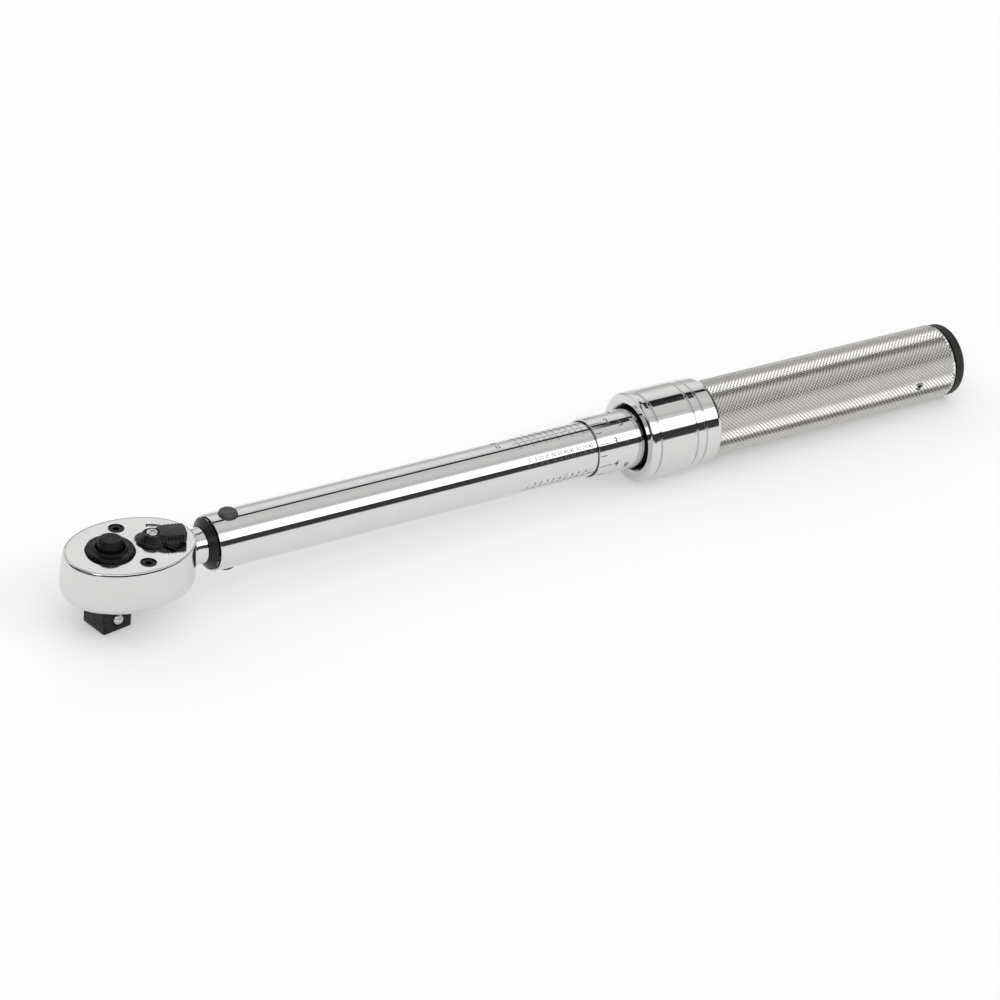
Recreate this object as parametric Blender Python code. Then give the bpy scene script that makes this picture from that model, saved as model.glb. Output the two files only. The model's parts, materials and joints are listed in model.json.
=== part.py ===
"""Click torque wrench with a 3/8 in reversible ratchet head.

Units are metres, +Z up. The origin is the middle of the drive square's tip face. The tube runs along +X
at the height AXIS_Z, and the drive points down. Heights are given from the tube's axis unless a name
says otherwise.
"""

import math

import bmesh
import bpy
from mathutils import Matrix, Vector

MM = 0.001

# Overall layout, along the tube from the drive's axis
AXIS_Z = 17.5 * MM
PIVOT_X = 35.6 * MM
LEVER_X = 12.55 * MM
TUBE_FRONT_X = 29.85 * MM
TUBE_REAR_X = 210 * MM
THIMBLE_FRONT_X = 152.3 * MM
THIMBLE_REAR_X = 196 * MM
COLLAR_FRONT_X = 167.8 * MM
COLLAR_REAR_X = 192.3 * MM
GRIP_FRONT_X = 189.5 * MM
GRIP_REAR_X = 280.2 * MM
OVERALL_REAR_X = 284.0 * MM

# Radii
TUBE_R = 7.94 * MM
TUBE_BORE_R = 6.35 * MM
THIMBLE_R = 8.77 * MM
THIMBLE_BORE_R = 8.2 * MM
COLLAR_R = 13.2 * MM
COLLAR_BORE_R = 11.55 * MM
GRIP_R = 11.2 * MM
GRIP_BORE_R = 9.3 * MM
GAP = 0.3 * MM

# Head
DRIVE_SIZE = 9.525 * MM
DRIVE_ANGLE = math.radians(10)
PLATE_CENTRE_X = 6 * MM
PLATE_HALF_LENGTH = 18.4 * MM
PLATE_HALF_WIDTH = 13.3 * MM
PLATE_TOP = 5.4 * MM
PLATE_BOTTOM = 3.8 * MM
HEAD_BOTTOM = -8.6 * MM
CAVITY_FLOOR = -5.9 * MM
GEAR_TEETH = 36
GEAR_TIP_R = 8.6 * MM
GEAR_ROOT_R = 7.8 * MM
GEAR_CAVITY_R = 9.0 * MM
GEAR_BOTTOM = CAVITY_FLOOR + GAP
GEAR_TOP = 3.4 * MM
BOSS_R = 6.6 * MM
BOSS_TOP = 6.4 * MM
PLATE_GEAR_HOLE_R = 6.9 * MM
PLATE_LEVER_RECESS_R = 4.9 * MM
PLATE_RECESS_FLOOR = 4.4 * MM
COVER_SCREW_X = 6.6 * MM
COVER_SCREW_Y = 9.3 * MM
COVER_SCREW_RECESS_R = 2.3 * MM
SHANK_END_X = 70 * MM
PIN_R = 2.65 * MM
PIN_HOLE_R = 2.8 * MM
BOOT_FRONT_X = 27.8 * MM
BOOT_SEAT_R = 4.4 * MM
DRIVE_HOLE_R = 6.9 * MM
JOURNAL_R = 6.5 * MM
JOURNAL_BOTTOM = -8.4 * MM
SQUARE_TOP = -8.8 * MM
SQUARE_NECK_R = 4.5 * MM

# Quick release
BUTTON_TOP = 9.3 * MM
BUTTON_R = 3.8 * MM
BUTTON_SEAT_R = 4.1 * MM
BUTTON_SEAT = 2.6 * MM
BUTTON_PIN_R = 2.0 * MM
BUTTON_BORE_R = 2.2 * MM
BUTTON_BORE_END = -16.3 * MM
BALL_Z = -13.9 * MM
BALL_R = 1.75 * MM
BALL_PROUD = 1.1 * MM
BALL_FACE_ANGLE = DRIVE_ANGLE - math.radians(90)

# Reversing lever and pawl, both at the throw they have at rest
LEVER_ANGLE = math.radians(-15)
LEVER_HUB_R = 4.25 * MM
LEVER_TOP = 7.9 * MM
LEVER_TAIL_R = 9.3 * MM
LEVER_TAIL_HALF_WIDTH = 3.15 * MM
LEVER_TAIL_TOP = 8.2 * MM
LEVER_SKIRT_R = 7.85 * MM
LEVER_SWEEP_R = 8.25 * MM
LEVER_SWEEP = math.radians(75)
LEVER_SHAFT_R = 2.2 * MM
PAWL_ANGLE = math.radians(-8.1)
PAWL_INNER_R = 9.2 * MM
PAWL_OUTER_R = 11.6 * MM
PAWL_HALF_SPREAD = math.radians(34)
PAWL_HUB_R = 3.3 * MM
DETENT_Z = -1 * MM

# Adjuster
LOCK_BALL_X = 174.5 * MM
LOCK_BALL_R = 1.3 * MM
LOCK_BALL_ORBIT_R = 9.54 * MM
LOCK_BALLS = 3
GRIP_PIN_X = 266.4 * MM
GRIP_PIN_HOLE_R = 1.2 * MM
SCREW_R = 3.2 * MM


def clear_scene():
    for item in list(bpy.data.objects):
        bpy.data.objects.remove(item, do_unlink=True)


def material(name, color, roughness, metallic):
    made = bpy.data.materials.get(name)
    if made is None:
        made = bpy.data.materials.new(name)
        made.use_nodes = True
        shader = made.node_tree.nodes["Principled BSDF"]
        shader.inputs["Base Color"].default_value = (*color, 1)
        shader.inputs["Roughness"].default_value = roughness
        shader.inputs["Metallic"].default_value = metallic
        made.diffuse_color = (*color, 1)
    return made


def polished_chrome():
    return material("polished_chrome", (0.82, 0.83, 0.85), 0.06, 1.0)


def satin_chrome():
    return material("satin_chrome", (0.74, 0.74, 0.75), 0.3, 1.0)


def black_oxide():
    return material("black_oxide", (0.02, 0.02, 0.022), 0.35, 0.6)


def bright_steel():
    return material("bright_steel", (0.6, 0.6, 0.62), 0.25, 1.0)


def spring_steel():
    return material("spring_steel", (0.35, 0.36, 0.38), 0.35, 1.0)


def bronze():
    return material("bronze", (0.65, 0.45, 0.2), 0.35, 1.0)


def black_rubber():
    return material("black_rubber", (0.015, 0.015, 0.015), 0.7, 0.0)


def black_plastic():
    return material("black_plastic", (0.02, 0.02, 0.02), 0.5, 0.0)


def add_object(name, mesh, finish, location):
    piece = bpy.data.objects.new(name, mesh)
    bpy.context.scene.collection.objects.link(piece)
    piece.location = location
    if finish is not None:
        mesh.materials.append(finish)
    return piece


def from_bmesh(name, shape, finish, location=(0, 0, AXIS_Z)):
    """Makes an object of a closed bmesh, with its faces turned out and its round faces smooth."""
    bmesh.ops.remove_doubles(shape, verts=shape.verts, dist=0.001 * MM)
    bmesh.ops.recalc_face_normals(shape, faces=shape.faces)
    mesh = bpy.data.meshes.new(name)
    shape.to_mesh(mesh)
    shape.free()
    mesh.shade_smooth()
    mesh.set_sharp_from_angle(angle=math.radians(35))
    return add_object(name, mesh, finish, location)


def turned(name, profile, finish=None, axis="X", steps=24, location=(0, 0, AXIS_Z)):
    """Spins (along, radius) points round the axis. Points that all stand off it make a ring."""
    shape = bmesh.new()
    if axis == "X":
        verts = [shape.verts.new((along, 0, radius)) for along, radius in profile]
        direction = (1, 0, 0)
    else:
        verts = [shape.verts.new((radius, 0, along)) for along, radius in profile]
        direction = (0, 0, 1)
    edges = [shape.edges.new(pair) for pair in zip(verts, verts[1:])]
    if min(radius for _, radius in profile) > 0:
        edges.append(shape.edges.new((verts[-1], verts[0])))
    bmesh.ops.spin(
        shape,
        geom=verts + edges,
        cent=(0, 0, 0),
        axis=direction,
        angle=2 * math.pi,
        steps=steps,
        use_merge=True,
    )
    return from_bmesh(name, shape, finish, location)


def prism(name, outline, low, high, finish=None, location=(0, 0, AXIS_Z)):
    """Extrudes an outline of (x, y) points from one height to another."""
    shape = bmesh.new()
    face = shape.faces.new([shape.verts.new((x, y, low)) for x, y in outline])
    raised = bmesh.ops.extrude_face_region(shape, geom=[face])["geom"]
    top = [item for item in raised if isinstance(item, bmesh.types.BMVert)]
    bmesh.ops.translate(shape, verts=top, vec=(0, 0, high - low))
    return from_bmesh(name, shape, finish, location)


def rod(name, radius, start, end, finish=None, steps=24):
    """A plain round bar between two points given from the middle of the drive's axis."""
    start, end = Vector(start), Vector(end)
    shape = bmesh.new()
    length = (end - start).length
    bmesh.ops.create_cone(
        shape, cap_ends=True, segments=steps, radius1=radius, radius2=radius, depth=length
    )
    turn = Vector((0, 0, 1)).rotation_difference(end - start).to_matrix().to_4x4()
    bmesh.ops.transform(shape, matrix=Matrix.Translation((start + end) / 2) @ turn, verts=shape.verts)
    return from_bmesh(name, shape, finish)


def ball(name, radius, location, finish):
    shape = bmesh.new()
    bmesh.ops.create_uvsphere(shape, u_segments=10, v_segments=6, radius=radius)
    return from_bmesh(name, shape, finish, location)


def coil(name, radius, wire_r, start, end, turns, finish, axis="X", centre=(0, 0, AXIS_Z), steps=10):
    """A round-wire spring whose wire's middle runs from start to end along its axis."""
    curve = bpy.data.curves.new(name, "CURVE")
    curve.dimensions = "3D"
    curve.bevel_depth = wire_r
    curve.bevel_resolution = 1
    curve.use_fill_caps = True
    count = int(turns * steps) + 1
    line = curve.splines.new("POLY")
    line.points.add(count - 1)
    for index, point in enumerate(line.points):
        angle = 2 * math.pi * index / steps
        along = start + (end - start) * index / (count - 1)
        across, up = radius * math.cos(angle), radius * math.sin(angle)
        point.co = (along, across, up, 1) if axis == "X" else (across, up, along, 1)
    return add_object(name, curve, finish, centre)


def boolean(piece, other, operation):
    other.hide_render = True
    other.display_type = "WIRE"
    step = piece.modifiers.new(f"{operation.lower()}_{other.name}", "BOOLEAN")
    step.operation = operation
    step.solver = "EXACT"
    step.object = other


def cut(piece, *cutters):
    for cutter in cutters:
        boolean(piece, cutter, "DIFFERENCE")


def fuse(piece, *others):
    for other in others:
        boolean(piece, other, "UNION")


def ellipse(half_length, half_width, rear_length=None, count=48):
    """An outline round the plate's middle, whose half towards the neck may have its own length."""
    points = []
    for index in range(count):
        angle = 2 * math.pi * index / count
        across, along = math.sin(angle), math.cos(angle)
        length = rear_length if rear_length and along > 0 else half_length
        points.append((PLATE_CENTRE_X + length * along, half_width * across))
    return points


def head_shell():
    """The forging's outer shape: a bowl whose side swells and rounds under, fuller towards the neck."""
    rings = (
        (PLATE_TOP, 0.35 * MM, 0.3 * MM),
        (4.6 * MM, 0.65 * MM, 0.35 * MM),
        (2.0 * MM, 1.0 * MM, 0.4 * MM),
        (-1.0 * MM, 1.2 * MM, 0.45 * MM),
        (-5.0 * MM, 1.05 * MM, 0.5 * MM),
        (-7.0 * MM, 0.15 * MM, 0.35 * MM),
        (-8.1 * MM, -1.4 * MM, -0.5 * MM),
        (HEAD_BOTTOM, -3.2 * MM, -1.8 * MM),
    )
    shape = bmesh.new()
    loops = []
    for height, grow, rear_grow in rings:
        half_length, half_width = PLATE_HALF_LENGTH + grow, PLATE_HALF_WIDTH + grow
        outline = ellipse(half_length, half_width, PLATE_HALF_LENGTH + rear_grow)
        loops.append([shape.verts.new((x, y, height)) for x, y in outline])
    for upper, lower in zip(loops, loops[1:]):
        for index in range(len(upper)):
            after = (index + 1) % len(upper)
            shape.faces.new((upper[index], upper[after], lower[after], lower[index]))
    shape.faces.new(loops[0])
    shape.faces.new(loops[-1])
    return from_bmesh("head_body", shape, polished_chrome())


def shank():
    """Neck, seat for the boot, barrel round the pivot pin and the long bar that ends at the block."""
    profile = (
        (14 * MM, 0),
        (14 * MM, 5.8 * MM),
        (21.5 * MM, 5.5 * MM),
        (24.2 * MM, 5.1 * MM),
        (BOOT_FRONT_X - GAP, 5.0 * MM),
        (BOOT_FRONT_X - 0.2 * MM, BOOT_SEAT_R),
        (30.2 * MM, BOOT_SEAT_R),
        (31.0 * MM, 5.6 * MM),
        (42 * MM, 5.6 * MM),
        (52 * MM, 3.9 * MM),
        (SHANK_END_X - 0.5 * MM, 3.9 * MM),
        (SHANK_END_X, 3.4 * MM),
        (SHANK_END_X, 0),
    )
    return turned("shank_shape", profile, steps=24)


def pawl_chamber():
    half = [
        (5.5 * MM, 6.4 * MM),
        (8.6 * MM, 7.3 * MM),
        (11.2 * MM, 7.6 * MM),
        (13.4 * MM, 6.2 * MM),
        (16.4 * MM, 3.2 * MM),
    ]
    outline = half + [(x, -y) for x, y in reversed(half)]
    return prism("pawl_chamber_cutter", outline, CAVITY_FLOOR, 3.6 * MM)


def head_body():
    body = head_shell()
    fuse(body, shank())
    pocket_outline = ellipse(PLATE_HALF_LENGTH, PLATE_HALF_WIDTH)
    pocket = prism("plate_pocket_cutter", pocket_outline, PLATE_BOTTOM - GAP, 7 * MM)
    gear_cavity = rod("gear_cavity_cutter", GEAR_CAVITY_R, (0, 0, CAVITY_FLOOR), (0, 0, 4 * MM), steps=48)
    drive_hole = rod("drive_hole_cutter", DRIVE_HOLE_R, (0, 0, -10 * MM), (0, 0, -5 * MM), steps=32)
    detent_start, detent_end = (15 * MM, 0, DETENT_Z), (24 * MM, 0, DETENT_Z)
    detent_hole = rod("detent_hole_cutter", 1.5 * MM, detent_start, detent_end, steps=12)
    pin_hole = rod("head_pin_hole_cutter", PIN_HOLE_R, (PIVOT_X, 0, -9 * MM), (PIVOT_X, 0, 9 * MM))
    cut(body, pocket, gear_cavity, drive_hole, pawl_chamber(), detent_hole, pin_hole)
    for side in (1, -1):
        x, y = COVER_SCREW_X, side * COVER_SCREW_Y
        hole = rod(f"body_screw_hole_cutter_{side}", 1.4 * MM, (x, y, -3.4 * MM), (x, y, 4 * MM), steps=16)
        cut(body, hole)
    return body


def fan_outline(near_r, far_r, half_angle, count=10):
    """A circle whose side towards +X swells out to a larger radius."""
    points = []
    for index in range(count + 1):
        angle = half_angle * (2 * index / count - 1)
        points.append((far_r * math.cos(angle), far_r * math.sin(angle)))
    for index in range(count + 1):
        angle = half_angle + 2 * (math.pi - half_angle) * index / count
        points.append((near_r * math.cos(angle), near_r * math.sin(angle)))
    return points


def lever_recess(top):
    """The pocket that the lever's skirt sweeps through."""
    outline = fan_outline(PLATE_LEVER_RECESS_R, LEVER_SWEEP_R, LEVER_SWEEP, 14)
    return prism("lever_recess_cutter", outline, PLATE_RECESS_FLOOR, top, location=(LEVER_X, 0, AXIS_Z))


def cover_plate():
    outline = ellipse(PLATE_HALF_LENGTH - GAP, PLATE_HALF_WIDTH - GAP)
    plate = prism("cover_plate", outline, PLATE_BOTTOM, PLATE_TOP, satin_chrome())
    low, high = PLATE_BOTTOM - 1 * MM, PLATE_TOP + 1 * MM
    gear_hole = rod("plate_gear_cutter", PLATE_GEAR_HOLE_R, (0, 0, low), (0, 0, high), steps=40)
    shaft_start, shaft_end = (LEVER_X, 0, low), (LEVER_X, 0, high)
    shaft_hole = rod("plate_shaft_cutter", LEVER_SHAFT_R + GAP, shaft_start, shaft_end, steps=20)
    cut(plate, gear_hole, shaft_hole, lever_recess(high))
    for side in (1, -1):
        x, y = COVER_SCREW_X, side * COVER_SCREW_Y
        hole = rod(f"plate_screw_cutter_{side}", 1.5 * MM, (x, y, low), (x, y, high), steps=16)
        floor, mouth = (x, y, PLATE_RECESS_FLOOR), (x, y, high)
        recess = rod(f"plate_recess_cutter_{side}", COVER_SCREW_RECESS_R, floor, mouth)
        cut(plate, hole, recess)
    return plate


def cover_screw(name, side):
    """Button head with a hexagon socket, below the plate's face."""
    profile = (
        (-3.0 * MM, 0),
        (-3.0 * MM, 1.2 * MM),
        (4.65 * MM, 1.2 * MM),
        (4.65 * MM, 2.05 * MM),
        (5.0 * MM, 2.0 * MM),
        (5.2 * MM, 1.75 * MM),
        (5.2 * MM, 0),
    )
    x, y = COVER_SCREW_X, side * COVER_SCREW_Y
    screw = turned(name, profile, black_oxide(), axis="Z", steps=20, location=(x, y, AXIS_Z))
    socket = rod(f"{name}_socket_cutter", 0.95 * MM, (x, y, 4.2 * MM), (x, y, 6 * MM), steps=6)
    cut(screw, socket)
    return screw


def neck_boot():
    """A stepped cone that fills the tube's mouth, with a smaller collar that reaches inside it."""
    bore, spigot_r = BOOT_SEAT_R + GAP, 6.6 * MM
    profile = (
        (BOOT_FRONT_X, bore),
        (BOOT_FRONT_X, 5.2 * MM),
        (28.1 * MM, 5.3 * MM),
        (28.2 * MM, 5.8 * MM),
        (28.5 * MM, 5.9 * MM),
        (28.6 * MM, 6.4 * MM),
        (28.9 * MM, 6.5 * MM),
        (29.0 * MM, 7.1 * MM),
        (29.15 * MM, 7.3 * MM),
        (29.4 * MM, 7.3 * MM),
        (29.4 * MM, spigot_r),
        (30.0 * MM, spigot_r),
        (30.0 * MM, bore),
    )
    return turned("neck_boot", profile, black_rubber())


def toothed_outline(root_r, tip_r):
    points = []
    for tooth in range(GEAR_TEETH):
        middle = 2 * math.pi * tooth / GEAR_TEETH
        pitch = 2 * math.pi / GEAR_TEETH
        for radius, angle in ((tip_r, middle), (root_r, middle + pitch / 2)):
            points.append((radius * math.cos(angle), radius * math.sin(angle)))
    return points


def square_outline(size, chamfer):
    half, near = size / 2, size / 2 - chamfer
    corners = ((half, near), (near, half))
    points = []
    for quarter in range(4):
        turn = Matrix.Rotation(quarter * math.pi / 2, 2)
        points += [tuple(turn @ Vector(corner)) for corner in corners]
    return points


def drive_square():
    """The male square, its tip edges bevelled for an easy start."""
    shape = bmesh.new()
    outline = square_outline(DRIVE_SIZE, 0.5 * MM)
    face = shape.faces.new([shape.verts.new((x, y, SQUARE_TOP)) for x, y in outline])
    raised = bmesh.ops.extrude_face_region(shape, geom=[face])["geom"]
    for item in raised:
        if isinstance(item, bmesh.types.BMVert):
            item.co.z = -AXIS_Z
    tip_edges = [item for item in raised if isinstance(item, bmesh.types.BMEdge)]
    bmesh.ops.bevel(shape, geom=tip_edges, offset=0.5 * MM, segments=1, affect="EDGES")
    return from_bmesh("drive_square_shape", shape, None)


def drive_gear():
    """Ratchet gear, the boss that shows through the plate and the drive square, all one piece."""
    outline = toothed_outline(GEAR_ROOT_R, GEAR_TIP_R)
    gear = prism("drive_gear", outline, GEAR_BOTTOM, GEAR_TOP, black_oxide())
    boss_profile = (
        (GEAR_TOP - 1 * MM, 0),
        (GEAR_TOP - 1 * MM, BOSS_R),
        (BOSS_TOP - 0.4 * MM, BOSS_R),
        (BOSS_TOP, BOSS_R - 0.4 * MM),
        (BOSS_TOP, 5.0 * MM),
        (BOSS_TOP + 0.4 * MM, 4.45 * MM),
        (BOSS_TOP + 0.4 * MM, 0),
    )
    boss = turned("gear_boss_shape", boss_profile, axis="Z", steps=40)
    journal_end = (0, 0, GEAR_BOTTOM + 1 * MM)
    journal = rod("gear_journal_shape", JOURNAL_R, (0, 0, JOURNAL_BOTTOM), journal_end, steps=32)
    relief_low, relief_high = (0, 0, SQUARE_TOP - 0.5 * MM), (0, 0, JOURNAL_BOTTOM + 0.5 * MM)
    relief = rod("square_relief_shape", SQUARE_NECK_R, relief_low, relief_high, steps=32)
    square = drive_square()
    fuse(gear, boss, journal, relief, square)
    seat = rod("button_seat_cutter", BUTTON_SEAT_R, (0, 0, BUTTON_SEAT), (0, 0, 8 * MM), steps=32)
    bore = rod("button_bore_cutter", BUTTON_BORE_R, (0, 0, BUTTON_BORE_END), (0, 0, 4 * MM), steps=20)
    outward = Vector((math.cos(BALL_FACE_ANGLE), math.sin(BALL_FACE_ANGLE), 0))
    low = Vector((0, 0, BALL_Z))
    ball_hole = rod("ball_hole_cutter", BALL_R + 0.15 * MM, low, low + outward * 8 * MM, steps=16)
    for part in (gear, square):
        part.rotation_euler.z = DRIVE_ANGLE
    cut(gear, seat, bore, ball_hole)
    return gear


def release_button():
    """Button and the pin below it, whose waist lets the ball drop in when the button goes down."""
    land_top, waist_top = BALL_Z + 0.4 * MM, -10.5 * MM
    profile = (
        (BALL_Z - 0.7 * MM, 0),
        (BALL_Z - 0.7 * MM, BUTTON_PIN_R),
        (land_top, BUTTON_PIN_R),
        (land_top + 0.3 * MM, 1.25 * MM),
        (waist_top - 0.3 * MM, 1.25 * MM),
        (waist_top, BUTTON_PIN_R),
        (4.9 * MM, BUTTON_PIN_R),
        (4.9 * MM, BUTTON_R),
        (7.4 * MM, 3.75 * MM),
        (8.4 * MM, 3.6 * MM),
        (8.95 * MM, 3.2 * MM),
        (9.2 * MM, 2.5 * MM),
        (BUTTON_TOP, 1.5 * MM),
        (BUTTON_TOP, 0),
    )
    return turned("release_button", profile, black_oxide(), axis="Z", steps=24)


def retaining_ball():
    reach = DRIVE_SIZE / 2 + BALL_PROUD - BALL_R
    place = (reach * math.cos(BALL_FACE_ANGLE), reach * math.sin(BALL_FACE_ANGLE), AXIS_Z + BALL_Z)
    return ball("retaining_ball", BALL_R, place, bright_steel())


def lever_tail():
    """Parallel-sided thumb piece with a rounded end, growing out of the hub."""
    wide = LEVER_TAIL_HALF_WIDTH
    half = (
        (2.4 * MM, 2.7 * MM),
        (3.0 * MM, wide),
        (8.3 * MM, wide),
        (8.75 * MM, wide - 0.25 * MM),
        (9.0 * MM, wide - 0.8 * MM),
        (9.2 * MM, wide - 1.9 * MM),
        (LEVER_TAIL_R, 0.4 * MM),
    )
    outline = list(half) + [(x, -y) for x, y in reversed(half)]
    return prism("lever_tail_shape", outline, 5.9 * MM, LEVER_TAIL_TOP, location=(LEVER_X, 0, AXIS_Z))


def lever_skirt():
    """The wider part below the thumb piece, inside the plate's recess."""
    outline = fan_outline(LEVER_HUB_R - 0.2 * MM, LEVER_SKIRT_R, math.radians(42))
    low = PLATE_RECESS_FLOOR + GAP + 0.1 * MM
    return prism("lever_skirt_shape", outline, low, 6.1 * MM, location=(LEVER_X, 0, AXIS_Z))


def reversing_lever():
    """Shaft, cone-shaped hub and thumb piece, with a well on top for the screw."""
    profile = (
        (-5.4 * MM, 0),
        (-5.4 * MM, LEVER_SHAFT_R),
        (PLATE_RECESS_FLOOR + GAP, LEVER_SHAFT_R),
        (PLATE_RECESS_FLOOR + GAP, LEVER_HUB_R),
        (5.5 * MM, LEVER_HUB_R),
        (6.6 * MM, 3.6 * MM),
        (7.5 * MM, 2.95 * MM),
        (LEVER_TOP, 2.4 * MM),
        (LEVER_TOP, 0),
    )
    place = (LEVER_X, 0, AXIS_Z)
    lever = turned("reversing_lever", profile, black_oxide(), axis="Z", steps=28, location=place)
    tail, skirt = lever_tail(), lever_skirt()
    for part in (lever, tail, skirt):
        part.rotation_euler.z = LEVER_ANGLE
    fuse(lever, tail, skirt)
    well = rod("lever_well_cutter", 1.95 * MM, (LEVER_X, 0, 7.2 * MM), (LEVER_X, 0, 9 * MM), steps=20)
    thread = rod("lever_thread_cutter", 1.2 * MM, (LEVER_X, 0, 2.6 * MM), (LEVER_X, 0, 9 * MM), steps=12)
    cut(lever, well, thread)
    return lever


def lever_screw():
    profile = (
        (3.0 * MM, 0),
        (3.0 * MM, 1.0 * MM),
        (7.45 * MM, 1.0 * MM),
        (7.45 * MM, 1.65 * MM),
        (8.1 * MM, 1.6 * MM),
        (8.35 * MM, 1.2 * MM),
        (8.35 * MM, 0),
    )
    screw = turned("lever_screw", profile, bright_steel(), axis="Z", steps=20, location=(LEVER_X, 0, AXIS_Z))
    slot = prism(
        "lever_screw_slot_cutter",
        ((-2 * MM, -0.2 * MM), (2 * MM, -0.2 * MM), (2 * MM, 0.2 * MM), (-2 * MM, 0.2 * MM)),
        8.0 * MM,
        9.0 * MM,
        location=(LEVER_X, 0, AXIS_Z),
    )
    slot.rotation_euler.z = LEVER_ANGLE
    cut(screw, slot)
    return screw


def pawl_outline():
    """A curved bar round the gear with a hub at the lever's axis, from the pawl's own pivot."""
    points = []
    steps = 8
    for index in range(steps + 1):
        angle = -PAWL_HALF_SPREAD + 2 * PAWL_HALF_SPREAD * index / steps
        points.append((PAWL_INNER_R * math.cos(angle) - LEVER_X, PAWL_INNER_R * math.sin(angle)))
    tip = PAWL_HALF_SPREAD
    points.append((PAWL_OUTER_R * math.cos(tip) - LEVER_X, PAWL_OUTER_R * math.sin(tip)))
    for index in range(steps + 1):
        angle = math.radians(80) * (1 - 2 * index / steps)
        points.append((PAWL_HUB_R * math.cos(angle), PAWL_HUB_R * math.sin(angle)))
    points.append((PAWL_OUTER_R * math.cos(tip) - LEVER_X, -PAWL_OUTER_R * math.sin(tip)))
    return points


def pawl():
    """The teeth at each end are the spaces that the gear leaves with the pawl at either throw."""
    place = (LEVER_X, 0, AXIS_Z)
    piece = prism("pawl", pawl_outline(), CAVITY_FLOOR + GAP, 3.2 * MM, black_oxide(), place)
    piece.rotation_euler.z = PAWL_ANGLE
    outline = toothed_outline(GEAR_ROOT_R + GAP, GEAR_TIP_R + GAP)
    for name, swing in (("rest", 0), ("thrown", 2 * PAWL_ANGLE)):
        cutter = prism(f"pawl_teeth_cutter_{name}", outline, -7 * MM, 5 * MM)
        about = Matrix.Rotation(swing, 3, "Z") @ Vector((-LEVER_X, 0, 0))
        cutter.location = Vector((LEVER_X, 0, AXIS_Z)) + about
        cutter.rotation_euler.z = swing
        cut(piece, cutter)
    hole = rod("pawl_hole_cutter", LEVER_SHAFT_R + GAP, (LEVER_X, 0, -7 * MM), (LEVER_X, 0, 5 * MM))
    cut(piece, hole)
    return piece


def detent():
    place = (17.4 * MM, 0, AXIS_Z + DETENT_Z)
    made = ball("detent_ball", 1.2 * MM, place, bright_steel())
    spring = coil(
        "detent_spring",
        0.85 * MM,
        0.2 * MM,
        19.15 * MM,
        23.5 * MM,
        4,
        spring_steel(),
        centre=(0, 0, AXIS_Z + DETENT_Z),
        steps=8,
    )
    return made, spring


def tube():
    profile = (
        (TUBE_FRONT_X, 7.15 * MM),
        (TUBE_FRONT_X, 7.6 * MM),
        (30.0 * MM, 7.8 * MM),
        (30.4 * MM, TUBE_R),
        (TUBE_REAR_X - 0.5 * MM, TUBE_R),
        (TUBE_REAR_X, TUBE_R - 0.5 * MM),
        (TUBE_REAR_X, TUBE_BORE_R),
        (33.0 * MM, TUBE_BORE_R),
        (32.2 * MM, 7.15 * MM),
    )
    body = turned("tube", profile, polished_chrome())
    cut(body, rod("tube_pin_hole_cutter", PIN_HOLE_R, (PIVOT_X, 0, -12 * MM), (PIVOT_X, 0, 12 * MM)))
    return body


def pivot_pin():
    end, edge, edge_r, end_r = 9.0 * MM, 8.6 * MM, 2.35 * MM, 1.4 * MM
    profile = (
        (-end, 0),
        (-end, end_r),
        (-edge, edge_r),
        (-edge + 0.4 * MM, PIN_R),
        (edge - 0.4 * MM, PIN_R),
        (edge, edge_r),
        (end, end_r),
        (end, 0),
    )
    return turned("pivot_pin", profile, black_oxide(), axis="Z", steps=24, location=(PIVOT_X, 0, AXIS_Z))


def tilt_block():
    """Square block with its edges eased, standing between the shank and the plunger."""
    half, ease = 2.6 * MM, 0.6 * MM
    front, rear = 70.9 * MM, 76.4 * MM
    outline = (
        (front, half - ease),
        (front, ease - half),
        (front + ease, -half),
        (rear - ease, -half),
        (rear, ease - half),
        (rear, half - ease),
        (rear - ease, half),
        (front + ease, half),
    )
    return prism("tilt_block", outline, -half, half, bright_steel())


def plunger():
    profile = (
        (77.4 * MM, 0),
        (77.4 * MM, 5.4 * MM),
        (77.9 * MM, 5.9 * MM),
        (91.5 * MM, 5.9 * MM),
        (91.5 * MM, 3.2 * MM),
        (97.0 * MM, 3.0 * MM),
        (97.0 * MM, 0),
    )
    return turned("plunger", profile, bright_steel(), steps=24)


def spring_seat():
    profile = (
        (174.0 * MM, 0),
        (174.0 * MM, 3.0 * MM),
        (178.3 * MM, 3.2 * MM),
        (178.3 * MM, 5.9 * MM),
        (181.8 * MM, 5.9 * MM),
        (181.8 * MM, 2.0 * MM),
        (180.3 * MM, 1.2 * MM),
        (180.3 * MM, 0),
    )
    return turned("spring_seat", profile, bright_steel(), steps=24)


def lead_nut():
    bore = SCREW_R + 0.25 * MM
    profile = (
        (195 * MM, bore),
        (195 * MM, TUBE_BORE_R - 0.15 * MM),
        (207 * MM, TUBE_BORE_R - 0.15 * MM),
        (207 * MM, bore),
    )
    return turned("lead_nut", profile, bronze())


def grip_pin_hole(name):
    start, end = (GRIP_PIN_X, -14 * MM, 0), (GRIP_PIN_X, 14 * MM, 0)
    return rod(name, GRIP_PIN_HOLE_R, start, end, steps=16)


def adjusting_screw():
    """Threaded bar and the flange that the grip's pin goes through."""
    flange_r = GRIP_BORE_R - GAP
    profile = (
        (183.9 * MM, 0),
        (183.9 * MM, 2.6 * MM),
        (184.5 * MM, SCREW_R),
        (258 * MM, SCREW_R),
        (261 * MM, 5.0 * MM),
        (261.5 * MM, flange_r),
        (271 * MM, flange_r),
        (271 * MM, 0),
    )
    screw = turned("adjusting_screw", profile, bright_steel(), steps=24)
    cut(screw, grip_pin_hole("screw_pin_hole_cutter"))
    return screw


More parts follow.
